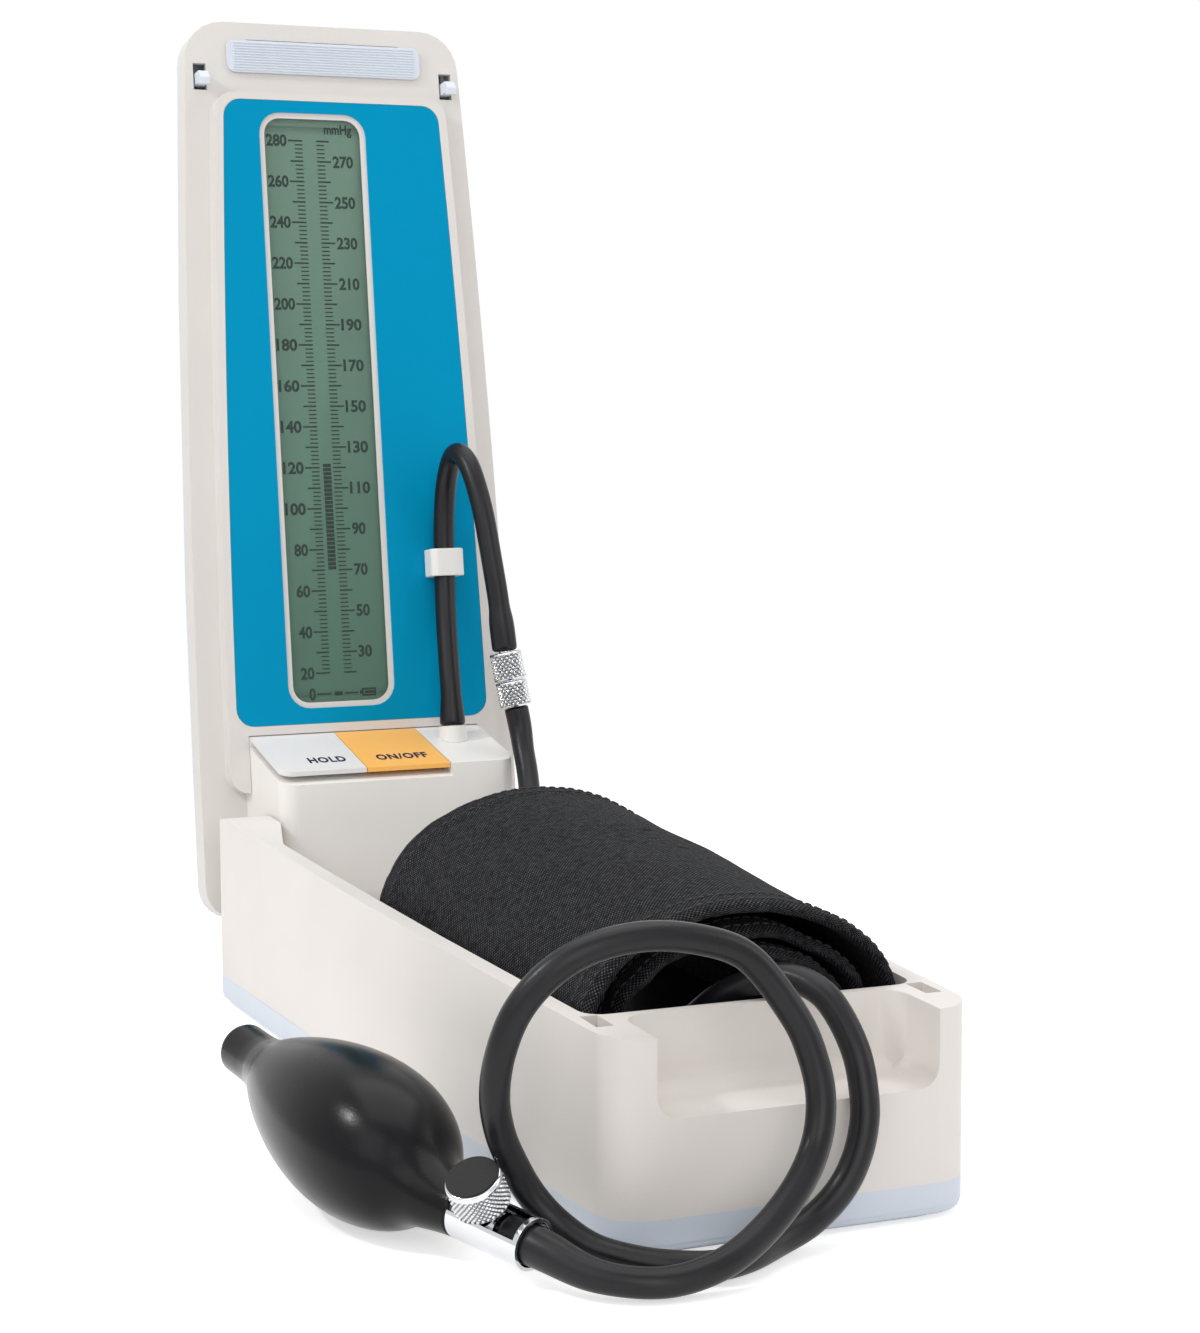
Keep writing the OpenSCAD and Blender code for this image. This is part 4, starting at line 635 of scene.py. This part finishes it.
def plated(name, roughness=0.08):
    """Bright chromium on brass, with faint wiping marks, and painted shade that darkens it in the
    knurl's grooves.
    """
    made, tree, shader, where = surface(name, paint(206, 208, 211), roughness, Metallic=1.0)
    tree.links.new(spread(tree, speckle(tree, where, 220, 5), roughness - 0.03, roughness + 0.08),
                   shader.inputs["Roughness"])
    grain(tree, shader, speckle(tree, where, 400, 4, y=-400), 0.00001)
    # Painted shade: the chrome's colour goes to near black where the groove mark says a point lies
    # deep in a knurl groove.
    cut = add(tree, "Attribute", -800, 300, attribute_name="groove")
    tree.links.new(tint(tree, cut.outputs["Fac"], paint(206, 208, 211), paint(34, 35, 38)),
                   shader.inputs["Base Color"])
    return made


def knurled(name, rows, diamonds, depth, material, at):
    """A turned piece: rows of height, radius and knurl share, cut with diamonds round its girth."""
    sides = diamonds * 6
    verts = []
    for z, r, share in rows:
        for k in range(sides):
            a = k / sides * diamonds
            lift = z * diamonds / (math.tau * r) if share else 0
            cuts = [1 - abs(2 * ((a + s * lift) % 1) - 1) for s in (1, -1)]
            out = r - share * depth * (1 - min(1, 1.5 * min(cuts)))
            g = math.tau * k / sides
            verts.append((out * math.cos(g), out * math.sin(g), z))
    faces = tube_faces(len(rows), sides)
    for i in (0, len(rows) - 1):
        centre = len(verts)
        verts.append((0, 0, rows[i][0]))
        faces += [(centre, i * sides + k, i * sides + (k + 1) % sides) for k in range(sides)]
    made = new_piece(name, verts, faces, material, at)
    back = at.inverted()
    girths = [r for z, r, share in rows if share]
    first, last = (pick(z for z, r, share in rows if share) for pick in (min, max))
    # The groove mark is painted shade: it grows from nothing to full as a point lies deeper in a
    # knurl groove.
    groove = made.data.attributes.new("groove", "FLOAT", "POINT")
    for i, v in enumerate(made.data.vertices):
        p = (back @ v.co) / MM
        inside = first - 0.01 < p.z < last + 0.01
        groove.data[i].value = ease(girths[0] - p.xy.length, depth * 0.35, depth) if inside else 0
    made.modifiers.new("crease", "EDGE_SPLIT").split_angle = math.radians(38)
    return made


def collar(z0, z1, r, steps):
    """Rows of a knurled collar with a smooth rounded rim at both ends."""
    rim = 0.9
    rows = [(z0, r - 0.5, 0), (z0 + 0.15, r - 0.15, 0), (z0 + 0.4, r, 0), (z0 + rim - 0.1, r, 0)]
    rows += [(z0 + rim + (z1 - z0 - 2 * rim) * i / steps, r, 1) for i in range(steps + 1)]
    return rows + [(z1 - rim + 0.1, r, 0), (z1 - 0.4, r, 0), (z1 - 0.15, r - 0.15, 0),
                   (z1, r - 0.5, 0)]


chrome = plated("chrome_bright")
coupling_diamonds, coupling_cut = 18, 0.7
on_coupling = (lid_frame @ Matrix.Translation(Vector(coupling_at) * MM)
               @ Matrix.Rotation(math.atan2(coupling_way.x, -coupling_way.y), 4, "Z")
               @ Matrix.Rotation(math.radians(90), 4, "X"))
socket = knurled("coupling_socket_turned",
                 [(-9, 1.7, 0), (-8.6, 2.2, 0), (0, 2.2, 0)] + collar(0.05, 10.15, 5.7, 44)
                 + [(socket_len, 2.1, 0), (14.2, 2.1, 0)], coupling_diamonds, coupling_cut,
                 chrome, on_coupling)
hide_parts("coupling_socket")
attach(socket, "lid")
lock_ring = knurled("coupling_ring_turned",
                    [(10.5, 2.4, 0)] + collar(10.55, 19.85, 5.6, 40) + [(19.9, 2.4, 0)],
                    coupling_diamonds, coupling_cut, chrome, on_coupling)
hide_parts("coupling_ring")
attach(lock_ring, "lock_ring")

# The latch: a ribbed slider of blue-grey plastic at the lid's top, moulded in one with its two
# hooks, and the steel springs behind it.

dress("latch_slider", moulded("slider_plastic", paint(212, 219, 229), 0.42), 0.15, flat=False)
dress("latch_springs", steel, 0)

# The cuff: a band of black woven nylon, rolled up and set in the tray, with a sewn hem along
# each edge of the band and a rubber bladder between its layers.


roll_half_w, roll_high = 50, 77
side_form, floor_form = 0.7, 0.6


def roll_edge(a, depth):
    """Rear end of the roll at angle a, as the solid has it: a round crown on a squarer foot."""
    rx, top = roll_half_w - depth, roll_high - 2 * depth
    side, up = math.cos(a), math.sin(a)
    x = rx * math.copysign(abs(side) ** (1 if up > 0 else side_form), side)
    z = top / 2 * math.copysign(abs(up) ** (1 if up > 0 else floor_form), up)
    return x, depth + top / 2 + z


turns, outside, pitch, layer = 2.48, 0.8, 6.4, 3.2
round_steps, long_steps = 330, 96
cuff_rear, cuff_front = 21.0, -131.0
hem_share = 0.075


def cloth(t, s, extra):
    """A point of the roll: t winds inwards, s runs from its rear end to its front end."""
    wound = turns * t
    layers = 0 if wound < outside else (wound - outside) / (1 - outside) if wound < 1 else wound
    a = math.radians(-89 + 360 * wound)
    x, z = roll_edge(a, pitch * layers + extra)
    edge = min(s, 1 - s)
    face = 1 if extra == 0 else -1
    hem = (0.35 * ease(edge, hem_share + 0.012, hem_share) - 1.1 * ease(edge, 0.018, 0)) * face
    inner = ease(wound, 0.75, 1.1)
    fold = (noise.noise(Vector((a * 1.3, s * 2.2, 3.1))) * 1.1
            + noise.noise(Vector((a * 3.1, s * 5, 9))) * (0.5 + 0.9 * inner)
            + noise.noise(Vector((a * 9, s * 9, 5))) * 0.25)
    pucker = (noise.noise(Vector((a * 22, s * 3, 2))) * 0.18
              * ease(edge, hem_share * 2.2, hem_share * 0.6))
    lift = 1 if math.sin(a) > 0 else 0.2
    out = lift * (fold + pucker) + hem
    y = cuff_rear + (cuff_front - cuff_rear) * s
    y += (4 * inner * ease(s, 0.6, 1) + noise.noise(Vector((a * 1.7, 4.4, s * 2))) * 1.6
          * ease(abs(s - 0.5), 0.3, 0.5) * (1 + inner))
    return (x * (1 - 0.08 * s) + math.cos(a) * out, y,
            14.6 + z * (1 - 0.14 * s) + max(math.sin(a), -0.3) * out)


verts, faces = [], []
rows = round_steps + 1
for extra in (0.0, layer):
    for i in range(rows):
        for j in range(long_steps + 1):
            verts.append(cloth(i / round_steps, j / long_steps, extra))
wide = long_steps + 1
shift = rows * wide
for i in range(round_steps):
    for j in range(long_steps):
        q = (i * wide + j, i * wide + j + 1, (i + 1) * wide + j + 1, (i + 1) * wide + j)
        faces.append(q)
        faces.append(tuple(shift + k for k in reversed(q)))
    for j in (0, long_steps):
        a, b = i * wide + j, (i + 1) * wide + j
        faces.append((a, b, shift + b, shift + a))
for j in range(long_steps):
    for i in (0, round_steps):
        a, b = i * wide + j, i * wide + j + 1
        faces.append((a, b, shift + b, shift + a))


def woven(name, colour, thread, light):
    """Plain weave by the piece's own cloth coordinates, with a painted highlight of light specks on
    the weave's crests, varied by noise.
    """
    made, tree, shader, where = surface(name, colour, 0.8, Specular_IOR_Level=0.05,
                                        Sheen_Weight=0.02, Sheen_Roughness=0.5)
    cloth_uv = add(tree, "UVMap", -1500, -300, uv_map="cloth")
    parts = add(tree, "SeparateXYZ", -1300, -300)
    tree.links.new(cloth_uv.outputs[0], parts.inputs[0])
    waves = []
    for i, axis in enumerate("XY"):
        turn_it = add(tree, "Math", -1100, -250 - 150 * i, operation="MULTIPLY")
        turn_it.inputs[1].default_value = math.tau / thread
        tree.links.new(parts.outputs[axis], turn_it.inputs[0])
        wave = add(tree, "Math", -900, -250 - 150 * i, operation="SINE")
        tree.links.new(turn_it.outputs[0], wave.inputs[0])
        waves.append(wave)
    crossing = add(tree, "Math", -700, -300, operation="MULTIPLY")
    tree.links.new(waves[0].outputs[0], crossing.inputs[0])
    tree.links.new(waves[1].outputs[0], crossing.inputs[1])
    weave = add(tree, "MapRange", -500, -300)
    weave.inputs["From Min"].default_value = -1
    tree.links.new(crossing.outputs[0], weave.inputs["Value"])
    grain(tree, shader, weave.outputs["Result"], 0.00012)
    # Painted highlight: the weave's crests, raised to the third power and thinned by noise, take
    # the light colour as glints.
    stipple = add(tree, "Math", -700, 100, operation="POWER")
    stipple.inputs[1].default_value = 3
    tree.links.new(weave.outputs["Result"], stipple.inputs[0])
    crest_glint = add(tree, "Math", -500, 50, operation="MULTIPLY")
    tree.links.new(stipple.outputs[0], crest_glint.inputs[0])
    tree.links.new(spread(tree, speckle(tree, where, 600, 2, y=300), 0.15, 0.8, y=300),
                   crest_glint.inputs[1])
    tree.links.new(tint(tree, crest_glint.outputs[0], colour, light, x=-250), shader.inputs["Base Color"])
    return made


# The light colour given here is the painted highlight on the weave's crests.
cuff_cloth = woven("cuff_nylon", paint(10, 10, 13), 0.0013, paint(116, 117, 122))
cuff = new_piece("cuff_roll", verts, faces, cuff_cloth)
girth = [0.0]
for i in range(round_steps):
    one, other = (Vector(cloth(k / round_steps, 0.5, 0)) for k in (i, i + 1))
    girth.append(girth[-1] + (other - one).length * MM)
band_w, under_shift = 0.152, 0.003
places = {}
for i in range(rows):
    for j in range(long_steps + 1):
        for under in (0, 1):
            p = verts[under * shift + i * wide + j]
            places[tuple(round(c, 2) for c in p)] = (
                girth[i], band_w * j / long_steps + under_shift * under)
cloth_map = cuff.data.uv_layers.new(name="cloth")
for loop in cuff.data.loops:
    p = cuff.data.vertices[loop.vertex_index].co / MM
    cloth_map.data[loop.index].uv = places.get(tuple(round(c, 2) for c in p), (0, 0))
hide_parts("cuff")
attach(cuff, "base")
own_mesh(cuff)

# The cuff's stitches: two rows of dark thread along each hem, each stitch a short strand that
# stands up from the band's outer face.

verts, faces = [], []
stitch, step, strand_sides = 2.3, 3.1, 6
for row in (0.026, 0.064, 0.936, 0.974):
    reach = 0.4
    while reach < girth[-1] / MM - 4:
        ends = []
        for at_mm in (reach, reach + stitch):
            i = next(k for k in range(round_steps) if girth[k + 1] / MM >= at_mm)
            share = (at_mm - girth[i] / MM) / ((girth[i + 1] - girth[i]) / MM)
            ends.append(Vector(cloth((i + share) / round_steps, row, 0)))
        middle = (ends[0] + ends[1]) / 2
        way = (ends[1] - ends[0]).normalized()
        inside = Vector(cloth((i + 0.5) / round_steps, row, layer))
        up = middle - inside
        up = (up - way * up.dot(way)).normalized()
        across = way.cross(up)
        n = len(verts)
        for share, fat in ((0, 0.1), (0.2, 0.27), (0.8, 0.27), (1, 0.1)):
            centre = ends[0].lerp(ends[1], share) + up * (0.16 if 0 < share < 1 else 0.0)
            verts += [tuple(centre + (across * math.cos(g) + up * math.sin(g)) * fat)
                      for g in (math.tau * k / strand_sides for k in range(strand_sides))]
        faces += [tuple(n + k for k in face) for face in tube_faces(4, strand_sides)]
        faces += [tuple(n + end + k for k in range(strand_sides)) for end in (0, 3 * strand_sides)]
        reach += step
thread = latex("cuff_thread", paint(46, 46, 50), 0.6, 0.3)
stitches = new_piece("cuff_stitches", verts, faces, thread)
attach(stitches, "base")
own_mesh(stitches)

# The bladder: a flat pouch of black rubber that lies inside the roll, with the ends of the cuff's
# hose and of the inflation hose in it.

verts, faces = [], []
pouch_steps = 24
pouch_half_w, pouch_half_len, pouch_y, pouch_z = 22, 62, -55, 43.5
for side in (1, -1):
    for i in range(pouch_steps + 1):
        for j in range(pouch_steps + 1):
            x, y = 2 * i / pouch_steps - 1, 2 * j / pouch_steps - 1
            plump = 1.6 + 0.9 * (1 - x ** 4) * (1 - y ** 4)
            edge = min(1, 14 * (1 - abs(x))) * min(1, 30 * (1 - abs(y)))
            verts.append((pouch_half_w * x, pouch_y + pouch_half_len * y,
                          pouch_z + side * (0.5 + (plump - 0.5) * edge)))
wide = pouch_steps + 1
shift = wide * wide
for i in range(pouch_steps):
    for j in range(pouch_steps):
        q = (i * wide + j, i * wide + j + 1, (i + 1) * wide + j + 1, (i + 1) * wide + j)
        faces += [q, tuple(shift + k for k in reversed(q))]
    for a, b in ((i * wide, (i + 1) * wide), (i * wide + pouch_steps, (i + 1) * wide + pouch_steps),
                 (i, i + 1), (pouch_steps * wide + i, pouch_steps * wide + i + 1)):
        faces.append((a, b, shift + b, shift + a))
bladder = new_piece("bladder_pouch", verts, faces, hose_latex)
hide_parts("bladder")
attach(bladder, "base")
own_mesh(bladder)

# The bulb: moulded black rubber with a neck for the inlet valve at its rear end, and a nose that
# runs into the valve's tube in front.

bulb_turn, bulb_dip = math.radians(8.7), math.radians(6.3)
bulb_way = Vector((math.sin(bulb_turn) * math.cos(bulb_dip),
                   -math.cos(bulb_turn) * math.cos(bulb_dip), -math.sin(bulb_dip)))
bulb_centre = Vector((-97, -87.25, 23.3))
bulb_half, bulb_r, bulb_taper = 48.5, 20.35, 0.32
neck_end, neck_r, nose_start, nose_at, nose_r = -60.5, 7.3, 20, 34, 6.6
nose_reach = (cradle_top - bulb_centre - bulb_way * nose_start).length
bulb_end = nose_start + nose_reach


def fuller(one, other, soft):
    """The larger of two radii, with a fillet where they meet."""
    return (one + other + math.sqrt((one - other) ** 2 + soft * soft)) / 2


def bulb_radius(z):
    """Outer radius at z along the centre line, with the neck behind and the nose in front."""
    share = z / bulb_half
    body = bulb_r * math.sqrt(max(0, 1 - share * share)) * (1 + bulb_taper * share)
    neck = neck_r if z < 0 else 0
    nose = 0
    if z > nose_at:
        nose = nose_r + 8.4 * max(0, (bulb_end - z) / (bulb_end - nose_at)) ** 1.5
    if z < -30:
        return fuller(body, neck, 2.4 * ease(z, -58, -46) * (1 - ease(z, -42, -34)) + 0.01)
    return fuller(body, nose, 1.6 * ease(z, 40, 46) * (1 - ease(z, 50, 56)) + 0.01)


def bulb_line(z):
    """The centre line: straight, then bending into the valve's axis."""
    if z <= nose_start:
        return bulb_centre + bulb_way * z
    t = (z - nose_start) / nose_reach
    start, end = bulb_centre + bulb_way * nose_start, cradle_top
    a, b = bulb_way * nose_reach, cradle_way * nose_reach
    return (start * (2 * t ** 3 - 3 * t * t + 1) + a * (t ** 3 - 2 * t * t + t)
            + end * (3 * t * t - 2 * t ** 3) + b * (t ** 3 - t * t))


rings = [(-52, 0.5), (-52, 5.05), (neck_end + 0.3, 5.1), (neck_end, 5.5), (neck_end, 6.6),
         (neck_end + 0.25, 7.05), (neck_end + 0.8, neck_r)]
rings += [(z, bulb_radius(z)) for z in (neck_end + 1.5 + (bulb_end - neck_end - 1.6) * i / 110
                                        for i in range(111))]
rings.append((bulb_end - 0.06, 2))
verts = []
sides = 72
for z, r in rings:
    here = bulb_line(z)
    way = (bulb_line(z + 0.5) - bulb_line(z - 0.5)).normalized() if z < bulb_end - 1 else cradle_way
    east = way.cross(Vector((0, 0, 1))).normalized()
    north = east.cross(way)
    verts += [tuple(here + (east * math.cos(g) + north * math.sin(g)) * r)
              for g in (math.tau * k / sides for k in range(sides))]
faces = tube_faces(len(rings), sides)
faces += [tuple(range(sides)), tuple((len(rings) - 1) * sides + k for k in range(sides))]
bulb_rubber = latex("bulb_rubber", paint(7, 7, 10), 0.22, 0.18)
bulb = new_piece("bulb_moulded", verts, faces, bulb_rubber)
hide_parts("bulb")
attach(bulb, "base")
dress("bulb_inlet_valve", latex("valve_rubber", paint(30, 30, 32), 0.5), 0.3)

# The valve: a chromed tube with a slot, the valve block and its screw in it, and on the screw a
# knob with a diamond knurl and a black cap.

dress("valve_cradle", chrome, 0.2)
dress("valve_block", chrome, 0.3)
dress("release_screw", steel, 0.1)
knob_seat, knob_gap, knob_high, knob_r, cap_t = 13.2 / 2 + 0.8, 0.3, 9.4, 7.2, 0.6
on_knob = (Matrix.Translation(cradle_top * MM) @ Matrix.Rotation(cradle_turn, 4, "Z")
           @ Matrix.Rotation(math.radians(90) + cradle_dip, 4, "X")
           @ Matrix.Rotation(math.radians(31), 4, "Z")
           @ Matrix.Translation((0, (knob_seat + knob_gap) * MM, 9.8 * MM))
           @ Matrix.Rotation(math.radians(-90), 4, "X"))
knob_top = knob_high - cap_t
knob_rows = [(0, 4.5, 0), (0.02, 6.7, 0), (0.3, 7.1, 0), (0.45, knob_r, 0)]
knob_rows += [(0.5 + (knob_top - 2.0) * i / 44, knob_r, 1) for i in range(45)]
knob_rows += [(knob_top - 1.4, knob_r, 0), (knob_top - 0.7, knob_r, 0), (knob_top - 0.2, 7.0, 0),
              (knob_top, 6.7, 0)]
knob_diamonds, knob_cut = 32, 0.55
knob = knurled("release_knob_turned", knob_rows, knob_diamonds, knob_cut, chrome, on_knob)
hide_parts("release_knob")
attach(knob, "release_valve")
dress("knob_cap", moulded("cap_black_plastic", paint(26, 25, 26), 0.4, gloss=0.2), 0.15)
